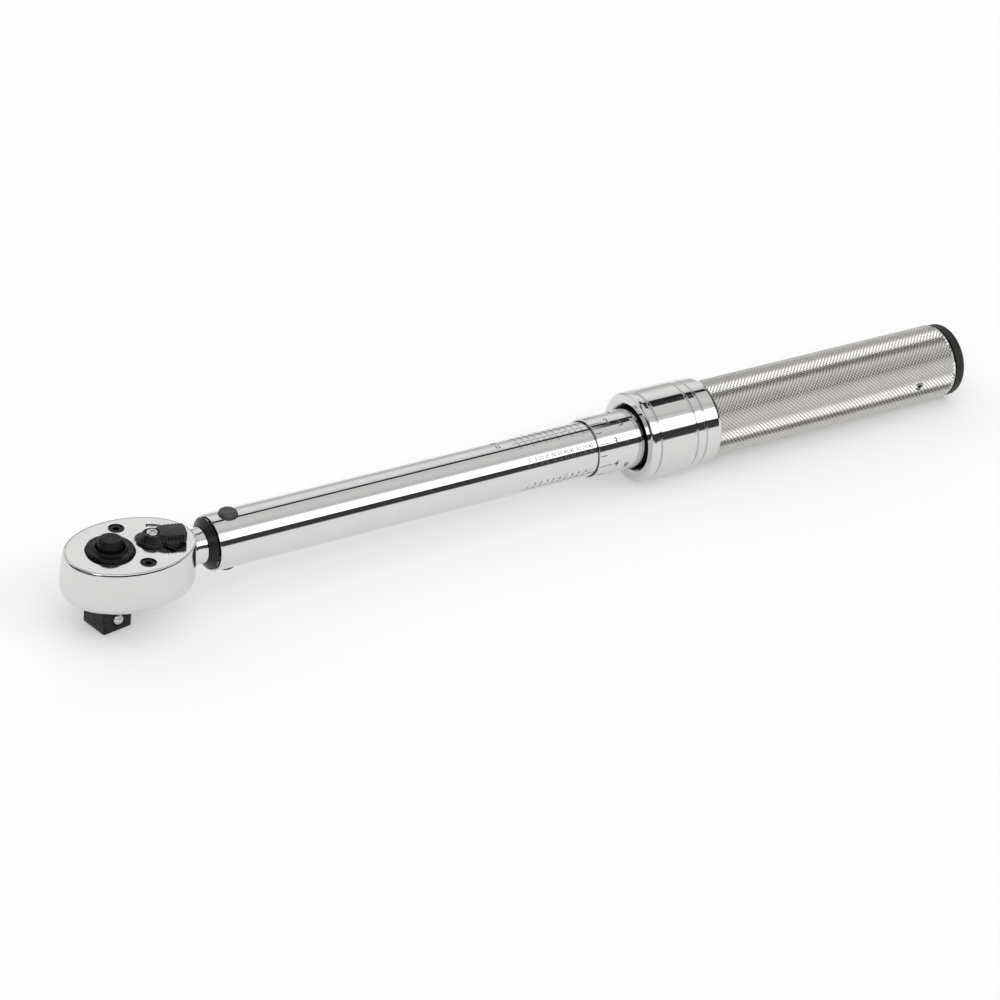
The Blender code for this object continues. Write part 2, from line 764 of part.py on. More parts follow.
def thimble():
    profile = (
        (THIMBLE_FRONT_X, THIMBLE_BORE_R),
        (THIMBLE_FRONT_X, THIMBLE_R - 0.25 * MM),
        (THIMBLE_FRONT_X + 0.4 * MM, THIMBLE_R),
        (THIMBLE_REAR_X, THIMBLE_R),
        (THIMBLE_REAR_X, THIMBLE_BORE_R),
    )
    sleeve = turned("thimble", profile, polished_chrome())
    for number in range(LOCK_BALLS):
        inner, outer = lock_ball_place(number, 7 * MM), lock_ball_place(number, 10 * MM)
        hole_r = LOCK_BALL_R + 0.2 * MM
        cut(sleeve, rod(f"lock_ball_hole_cutter_{number + 1}", hole_r, inner, outer, steps=16))
    return sleeve


def lock_ball_place(number, radius):
    angle = math.radians(90) + 2 * math.pi * number / LOCK_BALLS
    return Vector((LOCK_BALL_X, radius * math.cos(angle), radius * math.sin(angle)))


def lock_balls():
    made = []
    for number in range(LOCK_BALLS):
        place = lock_ball_place(number, LOCK_BALL_ORBIT_R) + Vector((0, 0, AXIS_Z))
        made.append(ball(f"lock_ball_{number + 1}", LOCK_BALL_R, place, bright_steel()))
    return made


def lock_collar():
    """Pull ring with a sloping mouth, three grooves and a hidden ridge that holds the balls down."""
    mouth_r, guide_r, ridge_r = 10.3 * MM, THIMBLE_R + GAP, 11.1 * MM
    profile = (
        (COLLAR_FRONT_X, mouth_r),
        (COLLAR_FRONT_X, 12.0 * MM),
        (168.0 * MM, 12.6 * MM),
        (168.4 * MM, 13.0 * MM),
        (168.9 * MM, 13.15 * MM),
        (170.1 * MM, 13.15 * MM),
        (170.35 * MM, 12.6 * MM),
        (170.85 * MM, 12.6 * MM),
        (171.1 * MM, COLLAR_R),
        (182.9 * MM, COLLAR_R),
        (183.15 * MM, 12.5 * MM),
        (183.65 * MM, 12.5 * MM),
        (183.9 * MM, 12.95 * MM),
        (186.2 * MM, 12.95 * MM),
        (186.45 * MM, 12.4 * MM),
        (186.9 * MM, 12.4 * MM),
        (187.15 * MM, 12.9 * MM),
        (191.2 * MM, 12.85 * MM),
        (192.0 * MM, 12.65 * MM),
        (COLLAR_REAR_X, 12.3 * MM),
        (COLLAR_REAR_X, COLLAR_BORE_R),
        (176.7 * MM, COLLAR_BORE_R),
        (176.7 * MM, ridge_r),
        (172.5 * MM, ridge_r),
        (172.5 * MM, COLLAR_BORE_R),
        (170.1 * MM, COLLAR_BORE_R),
        (170.1 * MM, guide_r),
        (168.9 * MM, guide_r),
    )
    return turned("lock_collar", profile, polished_chrome(), steps=28)


def spring_washer():
    profile = (
        (177.0 * MM, 9.1 * MM),
        (177.0 * MM, 11.2 * MM),
        (178.2 * MM, 11.2 * MM),
        (178.2 * MM, 9.1 * MM),
    )
    return turned("spring_washer", profile, bright_steel())


def grip():
    profile = (
        (GRIP_FRONT_X, 9.1 * MM),
        (GRIP_FRONT_X, GRIP_R - 0.3 * MM),
        (GRIP_FRONT_X + 0.3 * MM, GRIP_R),
        (GRIP_REAR_X - 0.3 * MM, GRIP_R),
        (GRIP_REAR_X, GRIP_R - 0.3 * MM),
        (GRIP_REAR_X, GRIP_BORE_R),
        (197 * MM, GRIP_BORE_R),
        (197 * MM, 9.1 * MM),
    )
    sleeve = turned("grip", profile, satin_chrome(), steps=32)
    cut(sleeve, grip_pin_hole("grip_pin_hole_cutter"))
    return sleeve


def grip_pin():
    half, outer, inner = 10.9 * MM, 1.0 * MM, 0.55 * MM
    profile = ((-half, inner), (-half, outer), (half, outer), (half, inner))
    pin = turned("grip_pin", profile, spring_steel(), axis="Z", steps=16, location=(GRIP_PIN_X, 0, AXIS_Z))
    pin.rotation_euler.x = math.radians(90)
    return pin


def end_cap():
    stem_r = GRIP_BORE_R - GAP
    profile = (
        (273 * MM, 0),
        (273 * MM, stem_r - 0.5 * MM),
        (273.5 * MM, stem_r),
        (GRIP_REAR_X + GAP, stem_r),
        (GRIP_REAR_X + GAP, 10.9 * MM),
        (282.9 * MM, 10.9 * MM),
        (283.5 * MM, 10.6 * MM),
        (OVERALL_REAR_X - 0.15 * MM, 9.8 * MM),
        (OVERALL_REAR_X, 8.5 * MM),
        (OVERALL_REAR_X, 0),
    )
    return turned("end_cap", profile, black_plastic(), steps=32)


def joint_empty(name, location, pieces):
    """Parents the pieces to an empty on their joint's axis, leaving them where they are."""
    pivot = bpy.data.objects.new(name, None)
    bpy.context.scene.collection.objects.link(pivot)
    pivot.location = location
    bpy.context.view_layer.update()
    for piece in pieces:
        piece.parent = pivot
        piece.matrix_parent_inverse = pivot.matrix_world.inverted()
    return pivot


def build():
    clear_scene()
    axis = Vector((0, 0, AXIS_Z))

    tube()
    pivot_pin()
    lead_nut()
    spring_start, spring_end = 92.9 * MM, 177.0 * MM
    coil("main_spring", 4.6 * MM, 1.0 * MM, spring_start, spring_end, 14, spring_steel(), steps=8)

    detent_ball, detent_spring = detent()
    screws = [cover_screw("cover_screw_1", 1), cover_screw("cover_screw_2", -1)]
    head = joint_empty(
        "head_pivot",
        axis + Vector((PIVOT_X, 0, 0)),
        [head_body(), cover_plate(), neck_boot(), detent_ball, detent_spring, *screws],
    )

    button = release_button()
    low, high = 3.2 * MM, 4.35 * MM
    button_spring = coil(
        "button_spring", 3.1 * MM, 0.3 * MM, low, high, 1.5, spring_steel(), axis="Z", steps=12
    )
    gear = joint_empty("drive_spin", axis, [drive_gear(), button, button_spring, retaining_ball()])
    lever_axis = axis + Vector((LEVER_X, 0, 0))
    lever = joint_empty("lever_swing", lever_axis, [reversing_lever(), lever_screw()])
    rocker = joint_empty("pawl_rock", lever_axis, [pawl()])
    for pivot in (gear, lever, rocker):
        pivot.parent = head
        pivot.matrix_parent_inverse = head.matrix_world.inverted()

    block = joint_empty("block_tilt", axis + Vector((77 * MM, 0, 0)), [tilt_block()])
    slide = joint_empty("plunger_slide", axis, [plunger()])
    block.parent = slide
    block.matrix_parent_inverse = slide.matrix_world.inverted()

    thrust_ball = ball("thrust_ball", 1.5 * MM, axis + Vector((182.1 * MM, 0, 0)), bright_steel())
    seat = joint_empty("grip_slide", axis, [spring_seat(), thrust_ball])
    low, high = 179.0 * MM, 188.7 * MM
    lock_spring = coil("lock_spring", 10.0 * MM, 0.45 * MM, low, high, 4, spring_steel(), steps=12)
    turning = [thimble(), grip(), adjusting_screw(), grip_pin(), end_cap(), lock_spring, *lock_balls()]
    turn = joint_empty("grip_turn", axis, turning)
    turn.parent = seat
    turn.matrix_parent_inverse = seat.matrix_world.inverted()
    pull = joint_empty("collar_slide", axis, [lock_collar(), spring_washer()])
    pull.parent = turn
    pull.matrix_parent_inverse = turn.matrix_world.inverted()


build()
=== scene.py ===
"""Looks of the click torque wrench: fine meshes, materials, a pale floor and soft studio light."""

import json
import math

import bmesh
import bpy
import numpy as np
from mathutils import Matrix, Vector


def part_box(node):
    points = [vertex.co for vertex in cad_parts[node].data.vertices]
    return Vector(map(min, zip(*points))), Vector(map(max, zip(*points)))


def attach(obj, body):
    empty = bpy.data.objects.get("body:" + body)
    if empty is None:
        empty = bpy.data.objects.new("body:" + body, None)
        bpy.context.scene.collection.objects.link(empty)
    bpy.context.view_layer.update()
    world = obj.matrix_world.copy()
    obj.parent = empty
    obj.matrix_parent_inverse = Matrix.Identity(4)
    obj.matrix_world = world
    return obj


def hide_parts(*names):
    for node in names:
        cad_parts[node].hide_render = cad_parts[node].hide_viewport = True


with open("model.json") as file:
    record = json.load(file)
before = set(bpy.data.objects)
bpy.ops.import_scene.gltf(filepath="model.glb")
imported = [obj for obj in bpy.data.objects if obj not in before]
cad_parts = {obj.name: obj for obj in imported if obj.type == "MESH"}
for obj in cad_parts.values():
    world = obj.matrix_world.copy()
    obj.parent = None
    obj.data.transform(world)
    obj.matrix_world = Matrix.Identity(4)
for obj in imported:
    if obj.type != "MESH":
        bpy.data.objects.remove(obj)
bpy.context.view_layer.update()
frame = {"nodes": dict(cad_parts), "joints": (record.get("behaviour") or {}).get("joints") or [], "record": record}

MM = 0.001
TURN = 2 * math.pi
BODY_OF = {node: body for body, nodes in frame["record"]["behaviour"]["bodies"].items() for node in nodes}
SLOT_OF = {part["node"]: part["material_slot"] for part in frame["record"]["subparts"]}
AXIS_Z = sum(corner.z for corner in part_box("tube")) / 2
AXIS = Vector((0, 0, AXIS_Z))
# Radius from the tube's axis inside which the collar's mouth is painted nearly black as shade
PAINTED_SHADE_R = 9.75 * MM


def reach(node):
    """Where a node starts and ends along X, and its greatest distance from the tube's axis."""
    low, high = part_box(node)
    return low.x, high.x, max(high.y, -low.y)


def joint_at(name):
    """The point that a joint turns about."""
    return Vector(next(joint["pos_m"] for joint in frame["joints"] if joint["name"] == name))


# ---------------- materials


def new_shader(name, color, roughness, metallic):
    made = bpy.data.materials.new(name)
    made.use_nodes = True
    nodes = made.node_tree.nodes
    shader = nodes["Principled BSDF"]
    shader.inputs["Base Color"].default_value = (*color, 1)
    shader.inputs["Roughness"].default_value = roughness
    shader.inputs["Metallic"].default_value = metallic
    return made, made.node_tree, shader


def noise(tree, size, detail=4, stretch=(1, 1, 1)):
    """Noise whose grains are about size metres across, drawn out by stretch."""
    place = tree.nodes.new("ShaderNodeTexCoord")
    scale = tree.nodes.new("ShaderNodeMapping")
    scale.inputs["Scale"].default_value = tuple(1 / (size * part) for part in stretch)
    grain = tree.nodes.new("ShaderNodeTexNoise")
    grain.inputs["Scale"].default_value = 1
    grain.inputs["Detail"].default_value = detail
    tree.links.new(place.outputs["Object"], scale.inputs["Vector"])
    tree.links.new(scale.outputs["Vector"], grain.inputs["Vector"])
    return grain.outputs["Fac"]


def spread(tree, value, low, high, start=0.3, end=0.7):
    """Maps a noise value onto a range."""
    mapped = tree.nodes.new("ShaderNodeMapRange")
    for slot, limit in (("From Min", start), ("From Max", end), ("To Min", low), ("To Max", high)):
        mapped.inputs[slot].default_value = limit
    tree.links.new(value, mapped.inputs["Value"])
    return mapped.outputs["Result"]


def mix_color(tree, factor, first, second):
    """Blends two colours, each a tuple or another node's output."""
    mixed = tree.nodes.new("ShaderNodeMix")
    mixed.data_type = "RGBA"
    for slot, color in (("A", first), ("B", second)):
        if isinstance(color, tuple):
            mixed.inputs[slot].default_value = (*color, 1)
        else:
            tree.links.new(color, mixed.inputs[slot])
    tree.links.new(factor, mixed.inputs["Factor"])
    return mixed.outputs["Result"]


def worked_out(tree, operation, *values, kind="ShaderNodeMath"):
    """A sum on other nodes' outputs, or on a vector output and a constant tuple."""
    node = tree.nodes.new(kind)
    node.operation = operation
    for slot, value in enumerate(values):
        if isinstance(value, tuple):
            node.inputs[slot].default_value = value
        else:
            tree.links.new(value, node.inputs[slot])
    return node


def add_bump(tree, shader, value, depth, strength=1.0):
    bump = tree.nodes.new("ShaderNodeBump")
    bump.inputs["Strength"].default_value = strength
    bump.inputs["Distance"].default_value = depth
    tree.links.new(value, bump.inputs["Height"])
    tree.links.new(bump.outputs["Normal"], shader.inputs["Normal"])


def worn_edges(tree, low=0.53, high=0.6):
    """How sharp an outer edge is, broken up by noise, for wear."""
    geometry = tree.nodes.new("ShaderNodeNewGeometry")
    edge = spread(tree, geometry.outputs["Pointiness"], 0, 1, low, high)
    patch = spread(tree, noise(tree, 1.2 * MM), 0.1, 0.9)
    return worked_out(tree, "MULTIPLY", edge, patch).outputs["Value"]


def metal(name, color, roughness, vary, grain, depth, stretch=(1, 1, 1), dull=0.94):
    """Bare or plated metal: cloudy colour and roughness, and fine marks drawn out along stretch."""
    made, tree, shader = new_shader(name, color, roughness, 1.0)
    cloud = noise(tree, 9 * MM, 3)
    darker = tuple(part * dull for part in color)
    tree.links.new(mix_color(tree, spread(tree, cloud, 0, 1), color, darker), shader.inputs["Base Color"])
    marks = noise(tree, grain, 6, stretch)
    tree.links.new(spread(tree, marks, roughness, roughness + vary), shader.inputs["Roughness"])
    add_bump(tree, shader, marks, depth, 0.35)
    return made


def mouth_chrome():
    """The same chrome on the collar, with shade painted inside its mouth: nearly black within a set radius of the
    axis.
    """
    made = metal("mouth_chrome", *CHROME)
    tree = made.node_tree
    shader = tree.nodes["Principled BSDF"]
    plated = shader.inputs["Base Color"].links[0].from_socket
    place = tree.nodes.new("ShaderNodeTexCoord")
    vector = "ShaderNodeVectorMath"
    level = worked_out(tree, "SUBTRACT", place.outputs["Object"], tuple(AXIS), kind=vector)
    across = worked_out(tree, "MULTIPLY", level.outputs["Vector"], (0, 1, 1), kind=vector)
    radius = worked_out(tree, "LENGTH", across.outputs["Vector"], kind=vector)
    # Painted shade: the colour turns nearly black inside this radius, where the deep mouth falls into shadow
    past_painted_shade = spread(tree, radius.outputs["Value"], 0, 1, PAINTED_SHADE_R, PAINTED_SHADE_R + 0.12 * MM)
    tree.links.new(mix_color(tree, past_painted_shade, (0.015, 0.015, 0.015), plated), shader.inputs["Base Color"])
    return made


def black_oxide():
    made, tree, shader = new_shader("black_oxide", (0.004, 0.004, 0.0045), 0.22, 0.0)
    shader.inputs["Specular IOR Level"].default_value = 0.14
    wear = worn_edges(tree)
    colored = mix_color(tree, wear, (0.005, 0.005, 0.0055), (0.04, 0.04, 0.042))
    tree.links.new(colored, shader.inputs["Base Color"])
    grain = noise(tree, 0.3 * MM, 5)
    tree.links.new(spread(tree, grain, 0.18, 0.3), shader.inputs["Roughness"])
    add_bump(tree, shader, grain, 0.006 * MM, 0.4)
    return made


def soft_black(name, roughness, grain, depth, color):
    """Moulded rubber or plastic: fine grain and a little dust in its colour."""
    made, tree, shader = new_shader(name, color, roughness, 0.0)
    shader.inputs["Specular IOR Level"].default_value = 0.3
    dusty = tuple(part * 1.9 for part in color)
    dust = spread(tree, noise(tree, 2.5 * MM, 5), 0, 1)
    tree.links.new(mix_color(tree, dust, color, dusty), shader.inputs["Base Color"])
    fine = noise(tree, grain, 5)
    tree.links.new(spread(tree, fine, roughness - 0.08, roughness + 0.08), shader.inputs["Roughness"])
    add_bump(tree, shader, fine, depth, 0.6)
    return made


# Colour, roughness and its variation, size and depth of the fine marks, their stretch, and the cloudy tone
CHROME = ((0.7, 0.699, 0.696), 0.03, 0.03, 0.5 * MM, 0.0006 * MM, (6, 1, 1), 0.97)
SATIN = ((0.73, 0.728, 0.724), 0.07, 0.05, 0.25 * MM, 0.002 * MM, (3, 1, 1), 0.97)
FINISHES = {
    "polished_chrome": metal("polished_chrome", *CHROME),
    "satin_chrome": metal("satin_chrome", *SATIN),
    "bright_steel": metal("bright_steel", (0.62, 0.62, 0.63), 0.16, 0.14, 0.2 * MM, 0.003 * MM, (1, 5, 5)),
    "spring_steel": metal("spring_steel", (0.3, 0.31, 0.33), 0.28, 0.15, 0.25 * MM, 0.004 * MM),
    "bronze": metal("bronze", (0.68, 0.47, 0.22), 0.25, 0.15, 0.25 * MM, 0.004 * MM, (1, 6, 6)),
    "black_oxide": black_oxide(),
    "black_rubber": soft_black("black_rubber", 0.24, 0.25 * MM, 0.006 * MM, (0.006, 0.006, 0.006)),
    "black_plastic": soft_black("black_plastic", 0.5, 0.18 * MM, 0.02 * MM, (0.01, 0.01, 0.01)),
}
KNURLED = metal("knurled_chrome", (0.62, 0.61, 0.59), 0.12, 0.1, 0.3 * MM, 0.01 * MM)
PAINTED_SHADE_CHROME = mouth_chrome()
MARK = soft_black("mark_fill", 0.6, 0.1 * MM, 0.005 * MM, (0.05, 0.05, 0.05))
GLOSS = soft_black("gloss_black", 0.14, 0.25 * MM, 0.004 * MM, (0.006, 0.006, 0.006))
BLUED = soft_black("blued_steel", 0.42, 0.3 * MM, 0.006 * MM, (0.042, 0.042, 0.044))


# ---------------- mesh tools


def placed(name, data):
    """A new object in the scene."""
    piece = bpy.data.objects.new(name, data)
    bpy.context.scene.collection.objects.link(piece)
    return piece


def add_mesh(name, points, faces, smooth_under=35):
    """A mesh object whose faces point out."""
    mesh = bpy.data.meshes.new(name)
    mesh.from_pydata([tuple(point) for point in points], [], faces)
    shape = bmesh.new()
    shape.from_mesh(mesh)
    bmesh.ops.remove_doubles(shape, verts=shape.verts, dist=1e-7)
    bmesh.ops.recalc_face_normals(shape, faces=shape.faces)
    shape.to_mesh(mesh)
    shape.free()
    mesh.shade_smooth()
    mesh.set_sharp_from_angle(angle=math.radians(smooth_under))
    return placed(name, mesh)


def made_from(shape, name):
    """An object from a bmesh, which is used up."""
    mesh = bpy.data.meshes.new(name)
    shape.to_mesh(mesh)
    shape.free()
    return placed(name, mesh)


def stand_for(piece, node, finish=None, sharp=None):
    """The piece takes its node's body and the finish given, or else its slot's finish, and hides the node. Edges
    over sharp degrees stay sharp.
    """
    if sharp:
        piece.data.set_sharp_from_angle(angle=math.radians(sharp))
    piece.data.materials.clear()
    piece.data.materials.append(finish or FINISHES[SLOT_OF[node]])
    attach(piece, BODY_OF[node])
    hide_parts(node)
    return piece


def in_mm(corners):
    """Corners given in millimetres, in metres."""
    return [tuple(part * MM for part in corner) for corner in corners]


def rounded(outline, closed, steps=4):
    """Turns (x, y, fillet) corners into points, with an arc at each corner that has a fillet.

    Long straight stretches get a point close to each end, which keeps their shading flat.
    """
    count = len(outline)
    points = []
    for index, (x, y, fillet) in enumerate(outline):
        here = Vector((x, y))
        if fillet <= 0 or (not closed and index in (0, count - 1)):
            points.append(here)
            continue
        before = Vector(outline[index - 1][:2]) - here
        after = Vector(outline[(index + 1) % count][:2]) - here
        half_angle = before.angle(after) / 2
        cut = min(fillet / math.tan(half_angle), 0.45 * before.length, 0.45 * after.length)
        radius = cut * math.tan(half_angle)
        inward = (before.normalized() + after.normalized()).normalized()
        middle = here + inward * radius / math.sin(half_angle)
        start, end = here + before.normalized() * cut - middle, here + after.normalized() * cut - middle
        turn = start.angle_signed(end)
        for step in range(steps + 1):
            points.append(middle + Matrix.Rotation(-turn * step / steps, 2) @ start)
    return supported(points, closed)


def supported(points, closed, near=0.06 * MM, long_run=0.8 * MM):
    """Adds a point close to each end of every long stretch."""
    result = []
    followers = points[1:] + points[:1] if closed else points[1:]
    for start, end in zip(points, followers):
        result.append(start)
        run = end - start
        if run.length > long_run:
            result += [start + run.normalized() * near, end - run.normalized() * near]
    if not closed:
        result.append(points[-1])
    return result


def quads(rows, columns, closed=False):
    """Faces between rows of points, where each row is a loop. Closed joins the last row to the first."""
    faces = []
    for row in range(rows if closed else rows - 1):
        here, there = row * columns, (row + 1) % rows * columns
        for column in range(columns):
            after = (column + 1) % columns
            faces.append((here + column, here + after, there + after, there + column))
    return faces


def turned(name, outline, centre=AXIS, axis="X", segments=128, steps=4):
    """Spins (along, radius, fillet) corners round an axis. Corners that all stand off it make a ring."""
    ring = min(corner[1] for corner in outline) > 0
    points = rounded(outline, ring, steps)
    spots = []
    for along, radius in points:
        for column in range(segments):
            angle = TURN * column / segments
            across, up = radius * math.cos(angle), radius * math.sin(angle)
            spot = (along, across, up) if axis == "X" else (across, up, along)
            spots.append(Vector(spot) + centre)
    return add_mesh(name, spots, quads(len(points), segments, ring))


def prism(name, outline, low, high, centre=AXIS):
    """Extrudes an outline of (x, y) points between two heights over the centre."""
    shape = bmesh.new()
    face = shape.faces.new([shape.verts.new((x, y, low)) for x, y in outline])
    raised = bmesh.ops.extrude_face_region(shape, geom=[face])["geom"]
    top = [item for item in raised if isinstance(item, bmesh.types.BMVert)]
    bmesh.ops.translate(shape, verts=top, vec=(0, 0, high - low))
    bmesh.ops.translate(shape, verts=shape.verts, vec=centre)
    bmesh.ops.recalc_face_normals(shape, faces=shape.faces)
    return made_from(shape, name)


def bar(name, radius, start, end, segments=64):
    """A plain round bar between two points given from the drive's axis at the tube's height."""
    start, end = Vector(start) + AXIS, Vector(end) + AXIS
    shape = bmesh.new()
    bmesh.ops.create_cone(
        shape, cap_ends=True, segments=segments, radius1=radius, radius2=radius, depth=(end - start).length
    )
    turn = Vector((0, 0, 1)).rotation_difference(end - start).to_matrix().to_4x4()
    bmesh.ops.transform(shape, matrix=Matrix.Translation((start + end) / 2) @ turn, verts=shape.verts)
    return made_from(shape, name)


def rotate_about(piece, centre, angle):
    """Turns a piece's mesh about a vertical line."""
    move = Matrix.Translation(centre) @ Matrix.Rotation(angle, 4, "Z") @ Matrix.Translation(-Vector(centre))
    piece.data.transform(move)
    return piece


def apply_modifiers(piece):
    bpy.context.view_layer.update()
    evaluated = piece.evaluated_get(bpy.context.evaluated_depsgraph_get())
    mesh = bpy.data.meshes.new_from_object(evaluated)
    piece.modifiers.clear()
    piece.data = mesh


def combine(piece, operation, *others):
    """Joins or cuts with each of the others, which are then removed."""
    for other in others:
        step = piece.modifiers.new(operation, "BOOLEAN")
        step.operation = operation
        step.solver = "EXACT"
        step.object = other
    apply_modifiers(piece)
    for other in others:
        bpy.data.objects.remove(other, do_unlink=True)
    return piece


def ease_edges(piece, width, segments=3, angle=35):
    """Rounds the sharp edges and keeps flat faces shaded flat."""
    piece.data.shade_smooth()
    bevel = piece.modifiers.new("eased", "BEVEL")
    bevel.width = width
    bevel.segments = segments
    bevel.limit_method = "ANGLE"
    bevel.angle_limit = math.radians(angle)
    bevel.use_clamp_overlap = True
    normals = piece.modifiers.new("flat_faces", "WEIGHTED_NORMAL")
    normals.mode = "FACE_AREA"
    normals.weight = 100
    normals.keep_sharp = False
    apply_modifiers(piece)
    return piece


def arc(radius, start, end, count):
    """Points along an arc, angles in degrees."""
    angles = [math.radians(start + (end - start) * step / count) for step in range(count + 1)]
    return [(radius * math.cos(a), radius * math.sin(a)) for a in angles]


def smooth_through(knots, count):
    """Points along a Catmull-Rom curve through the knots."""
    knots = np.array(knots, float)
    line = np.vstack([2 * knots[0] - knots[1], knots, 2 * knots[-1] - knots[-2]])
    result = []
    for step in range(count):
        place = (len(knots) - 1) * step / (count - 1)
        index = min(int(place), len(knots) - 2)
        t = place - index
        a, b, c, d = line[index : index + 4]
        square, cube = 2 * a - 5 * b + 4 * c - d, 3 * b - a - 3 * c + d
        result.append(0.5 * (2 * b + (c - a) * t + square * t ** 2 + cube * t ** 3))
    return np.array(result)


# ---------------- camera, floor and light

CAMERA_AZIMUTH = math.radians(-35.473)
CAMERA_ELEVATION = math.radians(31.27)
CAMERA_ROLL = math.radians(5.954)
CAMERA_DISTANCE = 1.086
CAMERA_LENS = 137.4
CAMERA_TARGET = Vector((0.125, 0, AXIS_Z - 10.37 * MM))


def add_camera():
    data = bpy.data.cameras.new("camera")
    data.lens = CAMERA_LENS
    data.sensor_width = 36
    data.clip_start = 0.01
    camera = placed("camera", data)
    level, rise = math.cos(CAMERA_ELEVATION), math.sin(CAMERA_ELEVATION)
    away = Vector((math.sin(CAMERA_AZIMUTH) * level, -math.cos(CAMERA_AZIMUTH) * level, rise))
    camera.location = CAMERA_TARGET + away * CAMERA_DISTANCE
    facing = away.to_track_quat("Z", "Y")
    camera.rotation_euler = (facing.to_matrix() @ Matrix.Rotation(CAMERA_ROLL, 3, "Z")).to_euler()
    bpy.context.scene.camera = camera


def add_floor():
    """The wrench leans on its drive's tip and on its collar, so the floor slopes a little in its frame."""
    collar_low, collar_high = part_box("lock_collar")
    drive_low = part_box("drive_gear")[0]
    tip_x = 4.8 * MM
    rest_x = collar_high.x - 9 * MM
    slope = math.atan2(collar_low.z - drive_low.z, rest_x - tip_x)
    shape = bmesh.new()
    bmesh.ops.create_grid(shape, x_segments=1, y_segments=1, size=6)
    floor = made_from(shape, "floor")
    floor.location = (tip_x, 0, drive_low.z - 0.08 * MM)
    floor.rotation_euler = (0, -slope, 0)
    made, tree, shader = new_shader("pale_floor", (0.66, 0.66, 0.66), 0.9, 0.0)
    shader.inputs["Specular IOR Level"].default_value = 0.0
    shader.inputs["Emission Color"].default_value = (1, 1, 1, 1)
    shader.inputs["Emission Strength"].default_value = 0.3
    cloud = mix_color(tree, noise(tree, 60 * MM), (0.655, 0.655, 0.655), (0.665, 0.665, 0.665))
    tree.links.new(cloud, shader.inputs["Base Color"])
    floor.data.materials.append(made)


# Brightness of the studio round the tube's axis: degrees from the far horizon over the top, and a grey level
STUDIO = (
    (-180, 1.02),
    (-20, 0.56),
    (6, 0.56),
    (22, 0.74),
    (30, 0.98),
    (48, 0.98),
    (58, 0.82),
    (60.5, 0.74),
    (62, 0.02),
    (69, 0.02),
    (71, 0.72),
    (90, 0.8),
    (106, 0.76),
    (110, 0.62),
    (114, 0.72),
    (121.5, 0.84),
    (123, 2.1),
    (150, 2.1),
    (152, 0.04),
    (171, 0.06),
    (175, 1.02),
    (180, 1.02),
)
# The tent's two ends are dark past this lean along X
TENT_END_LEAN = 0.8
# A dark card over the collar: a span of degrees, and of how far its direction leans along X
CARD_DEGREES = (67, 82)
CARD_LEAN = (0.521, 0.548)
CARD_SOFT_DEGREES = 0.6
CARD_SOFT_LEAN = 0.0012


def inside(tree, value, span, soft):
    """One where the value lies in the span, fading to zero past each end of it."""
    rising = spread(tree, value, 0, 1, span[0] - soft, span[0] + soft)
    falling = spread(tree, value, 1, 0, span[1] - soft, span[1] + soft)
    return worked_out(tree, "MULTIPLY", rising, falling).outputs["Value"]


def add_world():
    """A tent of long soft boxes and dark flags that run along the tube."""
    world = bpy.data.worlds.new("studio")
    bpy.context.scene.world = world
    world.use_nodes = True
    tree = world.node_tree
    place = tree.nodes.new("ShaderNodeTexCoord")
    parts = tree.nodes.new("ShaderNodeSeparateXYZ")
    tree.links.new(place.outputs["Generated"], parts.inputs["Vector"])
    angle = worked_out(tree, "ARCTAN2", parts.outputs["Z"], parts.outputs["Y"])
    share = tree.nodes.new("ShaderNodeMapRange")
    share.inputs["From Min"].default_value = -math.pi
    share.inputs["From Max"].default_value = math.pi
    ramp = tree.nodes.new("ShaderNodeValToRGB")
    tree.links.new(angle.outputs["Value"], share.inputs["Value"])
    tree.links.new(share.outputs["Result"], ramp.inputs["Fac"])
    stops = ramp.color_ramp.elements
    while len(stops) > 1:
        stops.remove(stops[-1])
    for index, (degrees, grey) in enumerate(STUDIO):
        stop = stops[0] if index == 0 else stops.new(degrees / 360 + 0.5)
        stop.position = degrees / 360 + 0.5
        stop.color = (grey, grey * 0.998, grey * 0.992, 1)
    span = tuple(math.radians(degrees) for degrees in CARD_DEGREES)
    round_tube = inside(tree, angle.outputs["Value"], span, math.radians(CARD_SOFT_DEGREES))
    along_tube = inside(tree, parts.outputs["X"], CARD_LEAN, CARD_SOFT_LEAN)
    card = worked_out(tree, "MULTIPLY", round_tube, along_tube)
    lean = worked_out(tree, "ABSOLUTE", parts.outputs["X"])
    ends = spread(tree, lean.outputs["Value"], 0, 0.9, TENT_END_LEAN - 0.04, TENT_END_LEAN + 0.04)
    dark = worked_out(tree, "MAXIMUM", card.outputs["Value"], ends)
    shaded = mix_color(tree, dark.outputs["Value"], ramp.outputs["Color"], (0.02, 0.02, 0.02))
    seen = tree.nodes.new("ShaderNodeLightPath")
    shown = mix_color(tree, seen.outputs["Is Camera Ray"], shaded, (1, 1, 1))
    background = tree.nodes["Background"]
    tree.links.new(shown, background.inputs["Color"])


def add_top_light():
    """A broad light over the floor, kept out of the reflections, which the studio already fills."""
    data = bpy.data.lights.new("top_light", "AREA")
    data.shape = "RECTANGLE"
    data.size = 1.4
    data.size_y = 1.4
    data.energy = 3.6
    light = placed("top_light", data)
    light.location = (0.12, 0.1, 1.1)
    light.visible_glossy = False
    light.visible_camera = False


# ---------------- ratchet head

